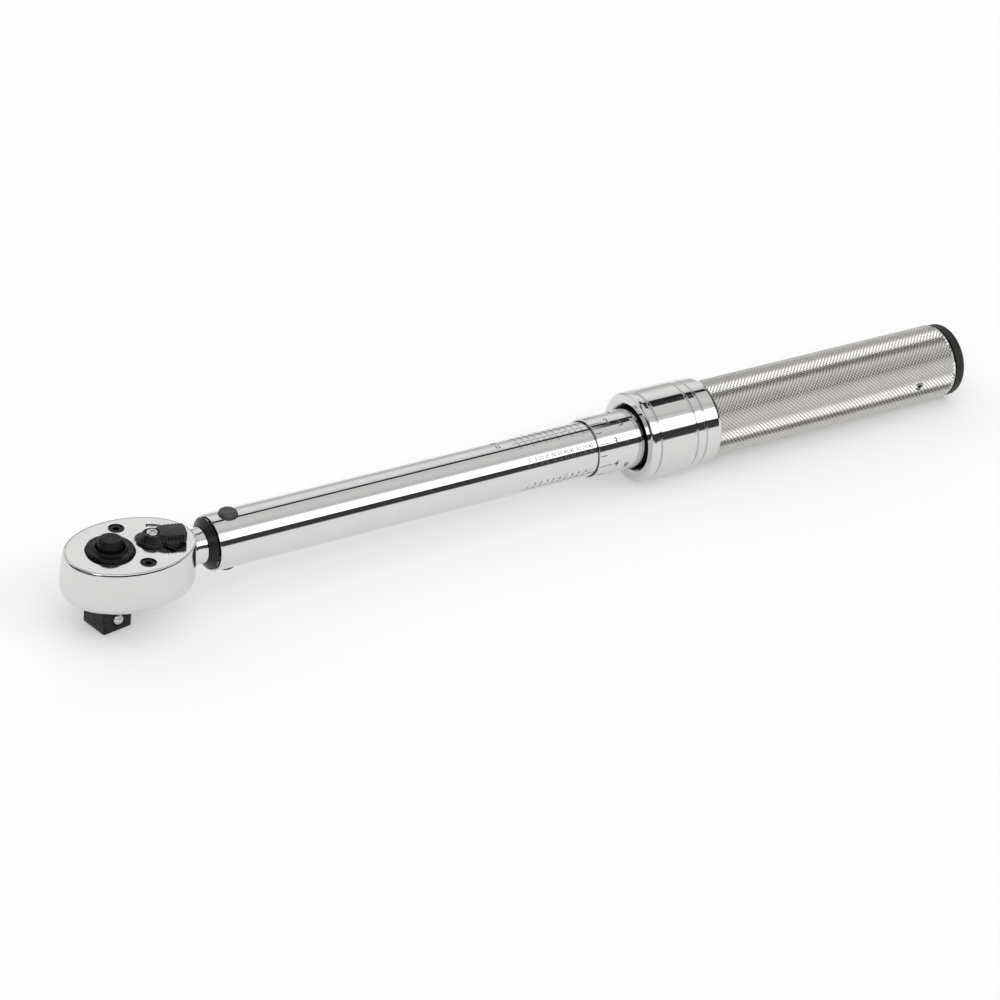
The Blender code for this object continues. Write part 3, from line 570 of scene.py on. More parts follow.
PLATE_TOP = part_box("cover_plate")[1].z - AXIS_Z
PLATE_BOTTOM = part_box("cover_plate")[0].z - AXIS_Z
PLATE_GAP = 0.3 * MM
PLATE_LINE = 0.14 * MM
PLATE_MIDDLE_X = sum(corner.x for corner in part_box("cover_plate")) / 2
PLATE_HALF_LENGTH = (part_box("cover_plate")[1].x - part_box("cover_plate")[0].x) / 2 + PLATE_GAP
PLATE_HALF_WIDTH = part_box("cover_plate")[1].y + PLATE_GAP
PIN_HOLE_R = 2.8 * MM
LEVER_CENTRE = joint_at("lever_swing")
SCREW_CENTRES = [sum(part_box(f"cover_screw_{n}"), Vector()) / 2 for n in (1, 2)]

# At each height, how far the head stands out past the plate: across and to the front, and towards the neck
SIDE = MM * smooth_through(
    (
        (5.4, 0.18, 0.18),
        (5.25, 0.36, 0.28),
        (4.4, 0.66, 0.32),
        (2.0, 0.98, 0.38),
        (-1.0, 1.19, 0.42),
        (-3.6, 1.2, 0.46),
        (-5.6, 0.88, 0.48),
        (-7.2, -0.1, 0.1),
        (-8.2, -1.7, -0.8),
        (-8.6, -3.9, -2.4),
    ),
    64,
)


def plate_outline(inset, count=160):
    return [
        (PLATE_MIDDLE_X + (PLATE_HALF_LENGTH - inset) * math.cos(a), (PLATE_HALF_WIDTH - inset) * math.sin(a))
        for a in (TURN * step / count for step in range(count))
    ]


def head_section(x):
    """Half of the head's outline across the X axis, from the top's middle to the bottom's."""
    z, out, rear_out = SIDE.T
    far = rear_out if x > PLATE_MIDDLE_X else out
    need = abs(x - PLATE_MIDDLE_X) - PLATE_HALF_LENGTH
    widest = int(np.argmax(far))
    high, low = z[0], z[-1]
    if need > far[0]:
        high = float(np.interp(need, far[: widest + 1], z[: widest + 1]))
    if need > far[-1]:
        low = float(np.interp(-need, -far[widest:], z[widest:]))
    heights = low + (high - low) * (z - z[-1]) / (z[0] - z[-1])
    outs, fars = np.interp(-heights, -z, out), np.interp(-heights, -z, far)
    share = 1 - ((x - PLATE_MIDDLE_X) / (PLATE_HALF_LENGTH + fars)) ** 2
    widths = (PLATE_HALF_WIDTH + outs) * np.sqrt(np.clip(share, 0, None))
    top = [(widths[0] * part, heights[0]) for part in (0.0, 0.4, 0.75, 0.95)]
    bottom = [(widths[-1] * part, heights[-1]) for part in (0.9, 0.6, 0.3, 0.0)]
    return np.array(top + list(zip(widths, heights)) + bottom)


def head_bowl():
    """The forging's bowl as one skin, section by section along X."""
    tip = 0.002 * MM
    front = PLATE_MIDDLE_X - PLATE_HALF_LENGTH - float(SIDE[:, 1].max()) + tip
    rear = PLATE_MIDDLE_X + PLATE_HALF_LENGTH + float(SIDE[:, 2].max()) - tip
    stations = 140
    rows = []
    for step in range(stations + 1):
        x = front + (rear - front) * (0.5 - 0.5 * math.cos(math.pi * step / stations))
        section = head_section(x)
        right = [(x, y, z + AXIS_Z) for y, z in section]
        left = [(x, -y, z + AXIS_Z) for y, z in section[1:-1]][::-1]
        rows.append(right + left)
    columns = len(rows[0])
    faces = quads(len(rows), columns)
    faces.append(tuple(range(columns)))
    faces.append(tuple(stations * columns + column for column in range(columns)))
    return add_mesh("head_body_fine", [point for row in rows for point in row], faces, 40)


def head_body():
    """Bowl and shank, with the cavities for the plate, the gear, the pawl, the detent and the pins."""
    body = head_bowl()
    shank = (
        (14, 0, 0),
        (14, 5.3, 0),
        (24.2, 5.3, 0.5),
        (25.2, 5.1, 1.5),
        (26.4, 4.95, 2.0),
        (27.5, 5.0, 0.1),
        (27.5, 4.4, 0),
        (30.2, 4.4, 0),
        (31, 5.6, 0.3),
        (42, 5.6, 1),
        (52, 3.9, 1),
        (70, 3.9, 0.5),
        (70, 0, 0),
    )
    rear = turned("shank", in_mm(shank), segments=128)
    combine(body, "UNION", rear)
    pocket = prism("pocket_cutter", plate_outline(0), PLATE_BOTTOM - PLATE_GAP, PLATE_TOP + 2 * MM)
    floor = -5.9 * MM
    cavity = bar("cavity_cutter", 9 * MM, (0, 0, floor), (0, 0, 4 * MM), 96)
    opening = bar("opening_cutter", 6.9 * MM, (0, 0, -10 * MM), (0, 0, -5 * MM), 96)
    side = [(5.5, 6.4), (8.6, 7.3), (11.2, 7.6), (13.4, 6.2), (16.4, 3.2)]
    outline = side + [(x, -y) for x, y in reversed(side)]
    chamber = prism("chamber_cutter", in_mm(outline), floor, 3.6 * MM)
    detent_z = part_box("detent_ball")[0].z + 1.2 * MM - AXIS_Z
    detent = bar("detent_cutter", 1.5 * MM, (15 * MM, 0, detent_z), (24 * MM, 0, detent_z), 32)
    pin_x = joint_at("head_pivot").x
    pin_hole = bar("pin_hole_cutter", PIN_HOLE_R, (pin_x, 0, -9 * MM), (pin_x, 0, 9 * MM))
    cutters = [pocket, cavity, opening, chamber, detent, pin_hole]
    for x, y, _ in SCREW_CENTRES:
        cutters.append(bar("screw_way", 1.4 * MM, (x, y, -3.4 * MM), (x, y, 4 * MM), 32))
    combine(body, "DIFFERENCE", *cutters)
    stand_for(body, "head_body", sharp=32)


def cover_plate():
    plate = prism("cover_plate_fine", plate_outline(PLATE_LINE), PLATE_BOTTOM, PLATE_TOP)
    top, floor = PLATE_TOP + 1 * MM, PLATE_TOP - 1 * MM
    under = PLATE_BOTTOM - 1 * MM
    cutters = [bar("gear_hole", 6.9 * MM, (0, 0, under), (0, 0, top), 96)]
    swept = arc(8.25 * MM, -75, 75, 28) + arc(4.9 * MM, 75, 285, 28)
    recess = prism("lever_recess", swept, floor, top, LEVER_CENTRE)
    shaft = bar("shaft_hole", 2.5 * MM, (LEVER_CENTRE.x, 0, under), (LEVER_CENTRE.x, 0, top), 48)
    cutters += [recess, shaft]
    for x, y, _ in SCREW_CENTRES:
        cutters.append(bar("screw_recess", 2.3 * MM, (x, y, floor), (x, y, top)))
        cutters.append(bar("screw_hole", 1.5 * MM, (x, y, under), (x, y, top), 32))
    combine(plate, "DIFFERENCE", *cutters)
    ease_edges(plate, 0.1 * MM)
    stand_for(plate, "cover_plate")


def cover_screws():
    for number, (x, y, _) in enumerate(SCREW_CENTRES, 1):
        low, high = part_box(f"cover_screw_{number}")
        bottom, top = low.z - AXIS_Z, high.z - AXIS_Z
        shank_r, head_r, shoulder = 1.2 * MM, 2.05 * MM, 4.65 * MM
        outline = (
            (bottom, 0, 0),
            (bottom, shank_r, 0.2 * MM),
            (shoulder, shank_r, 0),
            (shoulder, head_r, 0.1 * MM),
            (top - 0.1 * MM, head_r, 0.3 * MM),
            (top, 1.6 * MM, 0.2 * MM),
            (top, 0, 0),
        )
        screw = turned(f"cover_screw_{number}_fine", outline, Vector((x, y, AXIS_Z)), "Z", 64)
        socket = bar("socket", 1.0 * MM, (x, y, 4.1 * MM), (x, y, 7 * MM), 6)
        combine(screw, "DIFFERENCE", socket)
        stand_for(screw, f"cover_screw_{number}", sharp=35)


def neck_boot():
    """Rubber cone in fine steps that fills the tube's mouth, with a smaller collar inside the tube."""
    start, end, radius = reach("neck_boot")
    rim, bore, spigot_r = 29.4 * MM, 4.7 * MM, 6.6 * MM
    rings, base_r, lip = 6, 5.15 * MM, 0.12 * MM
    outline = [(start, bore, 0), (start, base_r, 0.06 * MM)]
    along, out = (rim - 0.25 * MM - start) / rings, (radius - base_r) / rings
    for ring in range(rings):
        x, r = start + along * ring, base_r + out * ring
        outline += [(x + along - lip, r + 0.05 * MM, 0.04 * MM), (x + along, r + out, 0.07 * MM)]
    outline += [(rim, radius, 0.1 * MM), (rim, spigot_r, 0), (end, spigot_r, 0.1 * MM), (end, bore, 0)]
    stand_for(turned("neck_boot_fine", outline, segments=160), "neck_boot")


def drive_gear():
    """Ratchet gear with its boss above and the drive square below."""
    half = 9.525 * MM / 2
    angle = math.radians(10)
    bottom, top = -5.6 * MM, 3.4 * MM
    journal_bottom, relief_bottom, square_top = -8.4 * MM, -9.3 * MM, -8.8 * MM
    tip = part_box("drive_gear")[0].z - AXIS_Z
    boss_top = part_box("drive_gear")[1].z - AXIS_Z
    seat_r, seat, bore_r, lip = 4.1 * MM, 2.6 * MM, 2.35 * MM, 0.4 * MM
    core = (
        (relief_bottom, bore_r, 0),
        (relief_bottom, 4.5 * MM, 0),
        (journal_bottom, 4.5 * MM, 0),
        (journal_bottom, 6.5 * MM, 0.2 * MM),
        (bottom, 6.5 * MM, 0),
        (bottom, 7.2 * MM, 0),
        (top, 7.2 * MM, 0),
        (top, 6.6 * MM, 0),
        (boss_top - lip, 6.6 * MM, 0.35 * MM),
        (boss_top - lip, 5.0 * MM, 0.6 * MM),
        (boss_top, 4.45 * MM, 0.15 * MM),
        (boss_top, seat_r, 0.1 * MM),
        (seat, seat_r, 0),
        (seat, bore_r, 0.1 * MM),
    )
    gear = turned("drive_gear_fine", core, AXIS, "Z", 128)
    teeth = 36
    outline = []
    for tooth in range(teeth):
        middle = TURN * tooth / teeth + angle
        for radius, shift in ((8.6, -0.04), (8.6, 0.04), (7.8, 0.46), (7.8, 0.54)):
            place = middle + shift * TURN / teeth
            outline.append((radius * MM * math.cos(place), radius * MM * math.sin(place)))
    ring = prism("gear_ring", outline, bottom, top)
    middle_hole = bar("ring_hole", 6.9 * MM, (0, 0, bottom - 1 * MM), (0, 0, top + 1 * MM), 96)
    combine(ring, "DIFFERENCE", middle_hole)
    near = half - 0.55 * MM
    corner = [(half, near), (near, half)]
    square = []
    for quarter in range(4):
        square += [tuple(Matrix.Rotation(quarter * math.pi / 2, 2) @ Vector(spot)) for spot in corner]
    shank = prism("drive_square", square, tip, square_top)
    rotate_about(shank, AXIS, angle)
    ease_edges(shank, 0.3 * MM, 3, 60)
    combine(gear, "UNION", ring, shank)
    bore = bar("button_bore", 2.2 * MM, (0, 0, -16.3 * MM), (0, 0, square_top + 0.2 * MM), 48)
    ball_low, ball_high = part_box("retaining_ball")
    ball_hole_r = (ball_high.z - ball_low.z) / 2 + 0.15 * MM
    middle = (ball_low + ball_high) / 2 - AXIS
    outward = Vector((middle.x, middle.y, 0)).normalized()
    hole_end = outward * 8 * MM + Vector((0, 0, middle.z))
    hole = bar("ball_hole", ball_hole_r, (0, 0, middle.z), tuple(hole_end), 48)
    combine(gear, "DIFFERENCE", bore, hole)
    stand_for(gear, "drive_gear", sharp=30)


def release_button():
    low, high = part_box("release_button")
    bottom, top = low.z - AXIS_Z, high.z - AXIS_Z
    pin_r, waist_r, cap_bottom, fillet = 2.0 * MM, 1.25 * MM, 4.9 * MM, 0.1 * MM
    outline = (
        (bottom, 0, 0),
        (bottom, pin_r, fillet),
        (-13.3 * MM, pin_r, fillet),
        (-13.0 * MM, waist_r, fillet),
        (-10.8 * MM, waist_r, fillet),
        (-10.5 * MM, pin_r, fillet),
        (cap_bottom, pin_r, fillet),
        (cap_bottom, 3.8 * MM, fillet),
        (7.6 * MM, 3.72 * MM, 0.8 * MM),
        (8.9 * MM, 3.45 * MM, 0.7 * MM),
        (top, 2.7 * MM, 0.6 * MM),
        (top, 1.4 * MM, 0),
        (top, 0, 0),
    )
    stand_for(turned("release_button_fine", outline, AXIS, "Z", 96, 8), "release_button")


def round_ball(node):
    low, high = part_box(node)
    shape = bmesh.new()
    bmesh.ops.create_uvsphere(shape, u_segments=48, v_segments=24, radius=(high.z - low.z) / 2)
    bmesh.ops.translate(shape, verts=shape.verts, vec=(low + high) / 2)
    piece = made_from(shape, node + "_fine")
    piece.data.shade_smooth()
    stand_for(piece, node)


def ribbed(outline, pitch, depth, after_x):
    """Resamples a closed outline and dents it in even ribs wherever it lies past after_x."""
    points = [Vector(point) for point in outline]
    ends = points[1:] + points[:1]
    total = sum((end - start).length for start, end in zip(points, ends))
    count = round(total / pitch)
    spacing = total / (count * 8)
    result, travelled, due = [], 0.0, 0.0
    for start, end in zip(points, ends):
        run = end - start
        inward = Vector((-run.y, run.x)).normalized()
        while due < travelled + run.length - 1e-9:
            spot = start + run.normalized() * (due - travelled)
            dent = depth * (0.5 - 0.5 * math.cos(TURN * due / (spacing * 8)))
            result.append(spot + inward * dent if spot.x > after_x else spot)
            due += spacing
        travelled += run.length
    return result


def reversing_lever():
    """Stepped cone on its shaft, a skirt in the plate's recess and a ribbed thumb piece."""
    low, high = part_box("reversing_lever")
    bottom, top = low.z - AXIS_Z, high.z - AXIS_Z
    thrown = math.radians(-15)
    seat = PLATE_TOP - 0.7 * MM
    foot_r, crown_r, shaft_r = 4.25 * MM, 2.4 * MM, 2.2 * MM
    cone_start, cone_end = 5.4 * MM, 7.9 * MM
    hub = [(bottom, 0, 0), (bottom, shaft_r, 0.2 * MM), (seat, shaft_r, 0), (seat, foot_r, 0.1 * MM)]
    steps = 6
    rise, shrink = (cone_end - cone_start) / steps, (foot_r - crown_r) / steps
    for step in range(steps):
        z, r = cone_start + rise * step, foot_r - shrink * step
        hub += [(z, r, 0.05 * MM), (z + 0.75 * rise, r - 0.35 * shrink, 0.08 * MM)]
    hub += [(cone_end, crown_r, 0.08 * MM), (cone_end, 0, 0)]
    lever = turned("reversing_lever_fine", hub, LEVER_CENTRE, "Z", 96)
    skirt_outline = arc(7.85 * MM, -42, 42, 16) + arc(4.05 * MM, 42, 318, 32)
    skirt = prism("skirt", skirt_outline, seat + 0.1 * MM, 6.1 * MM, LEVER_CENTRE)
    ease_edges(skirt, 0.15 * MM, 2)
    wide, long = 3.15 * MM, 9.3 * MM
    half = ((1.4 * MM, 2.0 * MM, 0), (2.6 * MM, 2.6 * MM, 0.6 * MM), (3.6 * MM, wide, 0.6 * MM))
    half += ((long - 0.25 * MM, wide, 0.9 * MM),)
    tail_outline = [(x, -y, fillet) for x, y, fillet in half] + [(long, 0, 2 * MM)]
    tail_outline += [(x, y, fillet) for x, y, fillet in reversed(half)]
    tail_outline = ribbed(rounded(tail_outline, True, 8), 1.0 * MM, 0.34 * MM, 3.2 * MM)
    tail = prism("tail", tail_outline, 5.9 * MM, top, LEVER_CENTRE)
    ease_edges(tail, 0.22 * MM, 3, 60)
    combine(lever, "UNION", skirt, tail)
    rotate_about(lever, LEVER_CENTRE, thrown)
    x = LEVER_CENTRE.x
    well = bar("well", 1.95 * MM, (x, 0, cone_end - 0.7 * MM), (x, 0, cone_end + 1 * MM), 48)
    thread = bar("thread", 1.2 * MM, (x, 0, 2.6 * MM), (x, 0, top + 1 * MM), 32)
    combine(lever, "DIFFERENCE", well, thread)
    stand_for(lever, "reversing_lever", finish=GLOSS, sharp=35)


def lever_screw():
    low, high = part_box("lever_screw")
    bottom, top = low.z - AXIS_Z, high.z - AXIS_Z
    shank_r, head_r, shoulder = 1.0 * MM, 1.65 * MM, top - 0.9 * MM
    outline = (
        (bottom, 0, 0),
        (bottom, shank_r, 0.2 * MM),
        (shoulder, shank_r, 0),
        (shoulder, head_r, 0.08 * MM),
        (top - 0.3 * MM, head_r, 0.3 * MM),
        (top, 1.1 * MM, 0.4 * MM),
        (top, 0, 0),
    )
    screw = turned("lever_screw_fine", outline, LEVER_CENTRE, "Z", 64)
    long, wide = 1 * MM, 0.17 * MM
    slot_outline = [(-long, -wide), (long, -wide), (long, wide), (-long, wide)]
    arms = []
    for turn in (20, 110):
        slot = prism(f"slot_{turn}", slot_outline, top - 0.45 * MM, top + 1 * MM, LEVER_CENTRE)
        arms.append(rotate_about(slot, LEVER_CENTRE, math.radians(turn)))
    combine(screw, "DIFFERENCE", *arms)
    stand_for(screw, "lever_screw", sharp=35)


# ---------------- tube, thimble and their marks

TUBE_FRONT, TUBE_REAR, TUBE_R = reach("tube")
THIMBLE_FRONT, THIMBLE_REAR, THIMBLE_R = reach("thimble")
COLLAR_FRONT, COLLAR_REAR = reach("lock_collar")[:2]
MARK_PROUD = 0.012 * MM
LEAD = 25.4 * MM / 12


def tube():
    mouth_r, bore = 7.15 * MM, 6.35 * MM
    outline = (
        (TUBE_FRONT, mouth_r, 0.06 * MM),
        (TUBE_FRONT, 7.72 * MM, 0.1 * MM),
        (TUBE_FRONT + 0.4 * MM, TUBE_R, 0.3 * MM),
        (TUBE_REAR, TUBE_R, 0.4 * MM),
        (TUBE_REAR, bore, 0.2 * MM),
        (33 * MM, bore, 0),
        (32.2 * MM, mouth_r, 0),
    )
    body = turned("tube_fine", outline, segments=192)
    pin_x = joint_at("head_pivot").x
    hole = bar("pin_hole", PIN_HOLE_R, (pin_x, 0, -12 * MM), (pin_x, 0, 12 * MM), 64)
    combine(body, "DIFFERENCE", hole)
    stand_for(body, "tube", sharp=35)


def pivot_pin():
    low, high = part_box("pivot_pin")
    top, bottom, radius = high.z - AXIS_Z, low.z - AXIS_Z, (high.x - low.x) / 2
    x = joint_at("head_pivot").x
    crown_r, slope = radius - 0.55 * MM, 0.55 * MM
    outline = (
        (bottom, 0, 0),
        (bottom, crown_r, 0.9 * MM),
        (bottom + slope, radius, 0.5 * MM),
        (top - slope, radius, 0.5 * MM),
        (top, crown_r, 0.9 * MM),
        (top, 0, 0),
    )
    pin = turned("pivot_pin_fine", outline, Vector((x, 0, AXIS_Z)), "Z", 64, 6)
    stand_for(pin, "pivot_pin", finish=BLUED)


def thimble():
    bore = 8.2 * MM
    outline = (
        (THIMBLE_FRONT, bore, 0.06 * MM),
        (THIMBLE_FRONT, THIMBLE_R, 0.22 * MM),
        (THIMBLE_REAR, THIMBLE_R, 0.2 * MM),
        (THIMBLE_REAR, bore, 0.06 * MM),
    )
    sleeve = turned("thimble_fine", outline, segments=192)
    holes = []
    for number in (1, 2, 3):
        low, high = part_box(f"lock_ball_{number}")
        middle = (low + high) / 2 - AXIS
        outward = Vector((0, middle.y, middle.z)).normalized()
        start, end = (Vector((middle.x, 0, 0)) + outward * part * MM for part in (7, 10))
        holes.append(bar(f"ball_hole_{number}", 1.5 * MM, start, end, 48))
    combine(sleeve, "DIFFERENCE", *holes)
    stand_for(sleeve, "thimble", sharp=35)


def wrapped_patch(spots, faces, corners, radius):
    """A thin closed patch on a cylinder, from x to x and from one angle to another."""
    (start_x, end_x), (start_angle, end_angle) = corners
    count = max(1, math.ceil(abs(end_angle - start_angle) / math.radians(3)))
    base = len(spots)
    for step in range(count + 1):
        angle = start_angle + (end_angle - start_angle) * step / count
        for level in (radius - 0.03 * MM, radius + MARK_PROUD):
            for x in (start_x, end_x):
                spots.append((x, level * math.cos(angle), level * math.sin(angle) + AXIS_Z))
    for step in range(count):
        a, b = base + 4 * step, base + 4 * step + 4
        faces += [(a, a + 1, b + 1, b), (a + 2, b + 2, b + 3, a + 3)]
        faces += [(a, b, b + 2, a + 2), (a + 1, a + 3, b + 3, b + 1)]
    last = base + 4 * count
    faces += [(base, base + 2, base + 3, base + 1), (last, last + 1, last + 3, last + 2)]


def printed(piece, body):
    """A thin print that rides on a body and stands for no node."""
    piece.data.materials.append(MARK)
    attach(piece, body)


def marks(name, patches, radius, body):
    spots, faces = [], []
    for patch in patches:
        wrapped_patch(spots, faces, patch, radius)
    printed(add_mesh(name, spots, faces), body)


def ring_mark(x, start, end, width=0.16):
    return (x - width * MM / 2, x + width * MM / 2), (math.radians(start), math.radians(end))


def line_mark(start_x, end_x, degrees, radius, width=0.16):
    half = width * MM / 2 / radius
    return (start_x, end_x), (math.radians(degrees) - half, math.radians(degrees) + half)


def tube_marks():
    """Scales side by side: one mark for each turn of the grip, and long lines between them."""
    patches = []
    first = THIMBLE_FRONT - 11 * LEAD
    for tick in range(12):
        x = first + tick * LEAD - 0.4 * MM
        longer = 4 if tick % 2 == 0 else 0
        patches.append(ring_mark(x, 62 - longer, 90, 0.2))
        patches.append(ring_mark(x, 97, 108 + longer, 0.2))
        patches.append(ring_mark(x, 203 - longer, 207, 0.2))
    for degrees in (76, 94, 208):
        patches.append(line_mark(first - LEAD, THIMBLE_FRONT + 2 * MM, degrees, TUBE_R, 0.18))
    for x in (first - 3.4 * LEAD, first - 3 * LEAD):
        patches.append(ring_mark(x, 66, 78, 0.35))
        patches.append(ring_mark(x, 86, 96, 0.35))
    marks("tube_marks", patches, TUBE_R, "tube")


def thimble_marks():
    patches = []
    for tick in range(16):
        degrees = 10 + tick * 22.5
        length = 4.2 if tick % 2 == 0 else 2.4
        start, end = THIMBLE_FRONT + 0.3 * MM, THIMBLE_FRONT + length * MM
        patches.append(line_mark(start, end, degrees, THIMBLE_R, 0.24))
    marks("thimble_marks", patches, THIMBLE_R, "grip")


def numbers(name, entries, radius, body, height, bold):
    """Digits wrapped on a cylinder. Each entry is (text, x, degrees)."""
    spots, faces = [], []
    for text, x, degrees in entries:
        curve = bpy.data.curves.new(name, "FONT")
        curve.body = text
        curve.size = height * 1.35
        curve.align_x = "CENTER"
        curve.align_y = "CENTER"
        curve.extrude = 0.02 * MM
        curve.offset = bold
        curve.resolution_u = 3
        holder = placed(name, curve)
        bpy.context.view_layer.update()
        evaluated = holder.evaluated_get(bpy.context.evaluated_depsgraph_get())
        mesh = bpy.data.meshes.new_from_object(evaluated)
        bpy.data.objects.remove(holder, do_unlink=True)
        shape = bmesh.new()
        shape.from_mesh(mesh)
        bmesh.ops.remove_doubles(shape, verts=shape.verts, dist=1e-6)
        bmesh.ops.triangulate(shape, faces=shape.faces)
        base = len(spots)
        for vert in shape.verts:
            angle = math.radians(degrees) - vert.co.y / radius
            level = radius + vert.co.z - 0.008 * MM
            spots.append((x + vert.co.x, level * math.cos(angle), level * math.sin(angle) + AXIS_Z))
        shape.verts.index_update()
        faces += [tuple(base + vert.index for vert in face.verts) for face in shape.faces]
        shape.free()
    printed(add_mesh(name, spots, faces, 30), body)


def all_numbers():
    first = THIMBLE_FRONT - 11 * LEAD
    on_tube = []
    for tick in range(0, 11):
        x = first + tick * LEAD
        on_tube.append((str(10 + tick * 5), x, 141))
        on_tube.append((str(20 + tick * 7), x, 152))
        on_tube.append((str(1 + tick), x, 197))
    numbers("tube_numbers", on_tube, TUBE_R, "tube", 1.15 * MM, 0.02 * MM)
    on_thimble = []
    for place in range(8):
        degrees = 10 + place * 45
        on_thimble.append((str(place), THIMBLE_FRONT + 5.9 * MM, degrees))
        on_thimble.append((str((place * 2 + 1) % 10), THIMBLE_FRONT + 9.6 * MM, degrees + 12))
    numbers("thimble_numbers", on_thimble, THIMBLE_R, "grip", 2.2 * MM, 0.05 * MM)


# ---------------- collar and grip


def lock_collar():
    """Pull ring with a rounded front round a deep mouth, and three grooves."""
    front, rear = COLLAR_FRONT / MM, COLLAR_REAR / MM
    mouth, guide, bore, ridge = 10.3, 9.1, 11.55, 11.1
    outline = (
        (front, mouth, 0.08),
        (front, 12.05, 0.6),
        (168.0, 12.65, 0.4),
        (168.4, 13.03, 0.4),
        (169.0, 13.15, 0.5),
        (170.1, 13.15, 0.08),
        (170.35, 12.5, 0.1),
        (170.85, 12.5, 0.1),
        (171.1, 13.2, 0.12),
        (182.9, 13.2, 0.12),
        (183.15, 12.35, 0.1),
        (183.65, 12.35, 0.1),
        (183.9, 12.95, 0.12),
        (186.2, 12.95, 0.12),
        (186.45, 12.25, 0.1),
        (186.9, 12.25, 0.1),
        (187.15, 12.9, 0.12),
        (191.2, 12.85, 0.8),
        (rear, 12.35, 0.35),
        (rear, bore, 0.06),
        (176.7, bore, 0),
        (176.7, ridge, 0),
        (172.5, ridge, 0),
        (172.5, bore, 0),
        (170.1, bore, 0),
        (170.1, guide, 0),
        (168.9, guide, 0),
    )
    # Its finish paints shade inside the mouth as a nearly black colour
    stand_for(turned("lock_collar_fine", in_mm(outline), segments=224), "lock_collar", finish=PAINTED_SHADE_CHROME)


def grip_sleeve():
    """Knurled sleeve: diamond pyramids over all but the turned ends."""
    start, end, radius = reach("grip")
    bore = 9.3 * MM
    columns = 116
    pitch = TURN * radius / columns
    depth = 0.5 * MM
    rows = int((end - start - 2.4 * MM) / pitch) // 2 * 2
    knurl_start = end - 1.0 * MM - rows * pitch
    stations = [(start, bore, 0), (start, radius - 0.5 * MM, 0), (start + 0.5 * MM, radius - 0.15 * MM, 0)]
    stations += [(knurl_start + row * pitch, radius, 1 + row % 2) for row in range(rows + 1)]
    stations += [(end - 0.6 * MM, radius - 0.2 * MM, 0), (end - 0.25 * MM, radius - 0.3 * MM, 0)]
    stations += [(end, radius - 0.6 * MM, 0), (end, bore, 0)]
    spots, faces = [], []
    for x, level, kind in stations:
        for column in range(columns):
            angle = TURN * column / columns
            low = kind and (column + kind) % 2
            here = level - depth if low else level
            spots.append((x, here * math.cos(angle), here * math.sin(angle) + AXIS_Z))
    count = len(stations)
    for row in range(count):
        after_row = (row + 1) % count
        for column in range(columns):
            after = (column + 1) % columns
            a, b = row * columns + column, row * columns + after
            c, d = after_row * columns + after, after_row * columns + column
            kind = stations[row][2]
            if not kind or not stations[after_row][2]:
                faces.append((a, b, c, d))
            elif (column + kind) % 2:
                faces += [(a, b, c), (a, c, d)]
            else:
                faces += [(a, b, d), (b, c, d)]
    sleeve = add_mesh("grip_fine", spots, faces, 12)
    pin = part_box("grip_pin")
    x = (pin[0].x + pin[1].x) / 2
    holes = []
    for side in (1, -1):
        holes.append(bar(f"hole_{side}", 1.2 * MM, (x, side * 8 * MM, 0), (x, side * 14 * MM, 0), 32))
    combine(sleeve, "DIFFERENCE", *holes)
    stand_for(sleeve, "grip", finish=KNURLED)


def grip_pin():
    low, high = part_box("grip_pin")
    middle = (low + high) / 2
    half = high.y
    bore, radius = 0.55 * MM, 1.0 * MM
    outline = (
        (-half, bore, 0.05 * MM),
        (-half, radius, 0.15 * MM),
        (half, radius, 0.15 * MM),
        (half, bore, 0.05 * MM),
    )
    pin = turned("grip_pin_fine", outline, Vector(), "Z", 48)
    pin.data.transform(Matrix.Translation(middle) @ Matrix.Rotation(math.pi / 2, 4, "X"))
    stand_for(pin, "grip_pin")


def end_cap():
    start, end, radius = reach("end_cap")
    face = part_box("grip")[1].x + 0.3 * MM
    plug_r, dished = 9.0 * MM, end - 0.25 * MM
    outline = (
        (start, 0, 0),
        (start, plug_r, 0.6 * MM),
        (face, plug_r, 0.05 * MM),
        (face, radius, 0.15 * MM),
        (end, radius, 1.5 * MM),
        (end, 6.5 * MM, 0.2 * MM),
        (dished, 6.1 * MM, 0.2 * MM),
        (dished, 0, 0),
    )
    stand_for(turned("end_cap_fine", outline, segments=160, steps=8), "end_cap")


# ---------------- inside


def spring(node, radius, wire, turns, axis="X"):
    """A round-wire spring with closed, flattened ends, between the ends of its node."""
    low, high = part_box(node)
    middle = (low + high) / 2
    start, end = (low.x, high.x) if axis == "X" else (low.z, high.z)
    curve = bpy.data.curves.new(node + "_fine", "CURVE")
    curve.dimensions = "3D"
    curve.bevel_depth = wire
    curve.bevel_resolution = 3
    curve.use_fill_caps = True
    line = curve.splines.new("POLY")
    count = int(turns * 32) + 1
    line.points.add(count - 1)
    first, last = start + wire, end - wire
    for index, point in enumerate(line.points):
        share = index / (count - 1)
        eased = min(max((share * turns - 0.8) / (turns - 1.6), 0), 1)
        closing = min(share * turns, 0.8) + max(share * turns - turns + 0.8, 0)
        along = first + (last - first - 1.6 * 2.1 * wire) * eased + closing * 2.1 * wire
        angle = TURN * share * turns
        across, up = radius * math.cos(angle), radius * math.sin(angle)
        if axis == "X":
            point.co = (along, across, middle.z + up, 1)
        else:
            point.co = (across, up, along, 1)
    stand_for(placed(node + "_fine", curve), node)


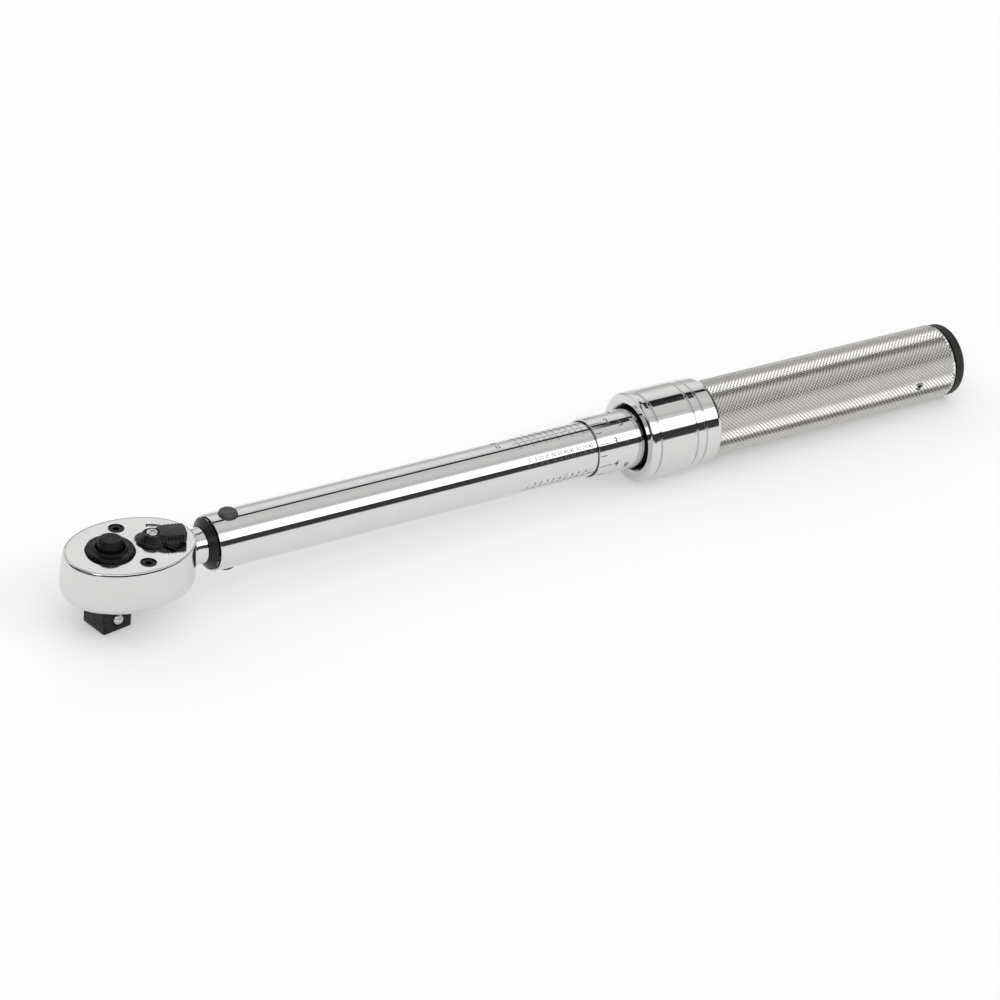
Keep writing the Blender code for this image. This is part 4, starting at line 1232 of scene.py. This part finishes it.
def adjusting_screw():
    """The grip's screw, with its 12 threads to the inch cut as one helix."""
    start, end, radius = reach("adjusting_screw")
    thread_end = start + 71 * MM
    columns, per_turn = 32, 8
    depth = 0.75 * MM
    rows = int((thread_end - start) / LEAD * per_turn)
    spots = []
    stations = [(start, 0.0, 0), (start, 2.2 * MM, 0)]
    stations += [(start + 0.2 * MM + (thread_end - start) * row / rows, 3.2 * MM, 1) for row in range(rows)]
    stations += [(thread_end + 0.6 * MM, 3.2 * MM, 0), (258 * MM, 3.2 * MM, 0), (261 * MM, 5 * MM, 0)]
    stations += [(261.5 * MM, radius, 0), (end - 0.3 * MM, radius, 0)]
    stations += [(end, radius - 0.3 * MM, 0), (end, 0.0, 0)]
    for x, level, threaded in stations:
        for column in range(columns):
            angle = TURN * column / columns
            phase = (x / LEAD - column / columns) % 1
            here = level - depth * (abs(phase - 0.5) * 2 if threaded else 0)
            spots.append((x, here * math.cos(angle), here * math.sin(angle) + AXIS_Z))
    screw = add_mesh("adjusting_screw_fine", spots, quads(len(stations), columns), 50)
    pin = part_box("grip_pin")
    x = (pin[0].x + pin[1].x) / 2
    combine(screw, "DIFFERENCE", bar("pin_way", 1.2 * MM, (x, -14 * MM, 0), (x, 14 * MM, 0), 32))
    stand_for(screw, "adjusting_screw")


def finish_hidden_nodes():
    """CAD nodes that stay as they are get their slot's material."""
    for node, piece in frame["nodes"].items():
        if piece.hide_render:
            continue
        piece.data.materials.clear()
        piece.data.materials.append(FINISHES[SLOT_OF[node]])


def build():
    bpy.context.scene.view_settings.view_transform = "Standard"
    add_camera()
    add_floor()
    add_world()
    add_top_light()
    head_body()
    cover_plate()
    cover_screws()
    neck_boot()
    drive_gear()
    release_button()
    reversing_lever()
    lever_screw()
    tube()
    pivot_pin()
    thimble()
    tube_marks()
    thimble_marks()
    all_numbers()
    lock_collar()
    grip_sleeve()
    grip_pin()
    end_cap()
    for node in ("retaining_ball", "detent_ball", "thrust_ball", "lock_ball_1", "lock_ball_2", "lock_ball_3"):
        round_ball(node)
    spring("main_spring", 4.6 * MM, 1.0 * MM, 15)
    spring("lock_spring", 10.0 * MM, 0.45 * MM, 5)
    spring("detent_spring", 0.85 * MM, 0.2 * MM, 6)
    adjusting_screw()
    finish_hidden_nodes()


build()
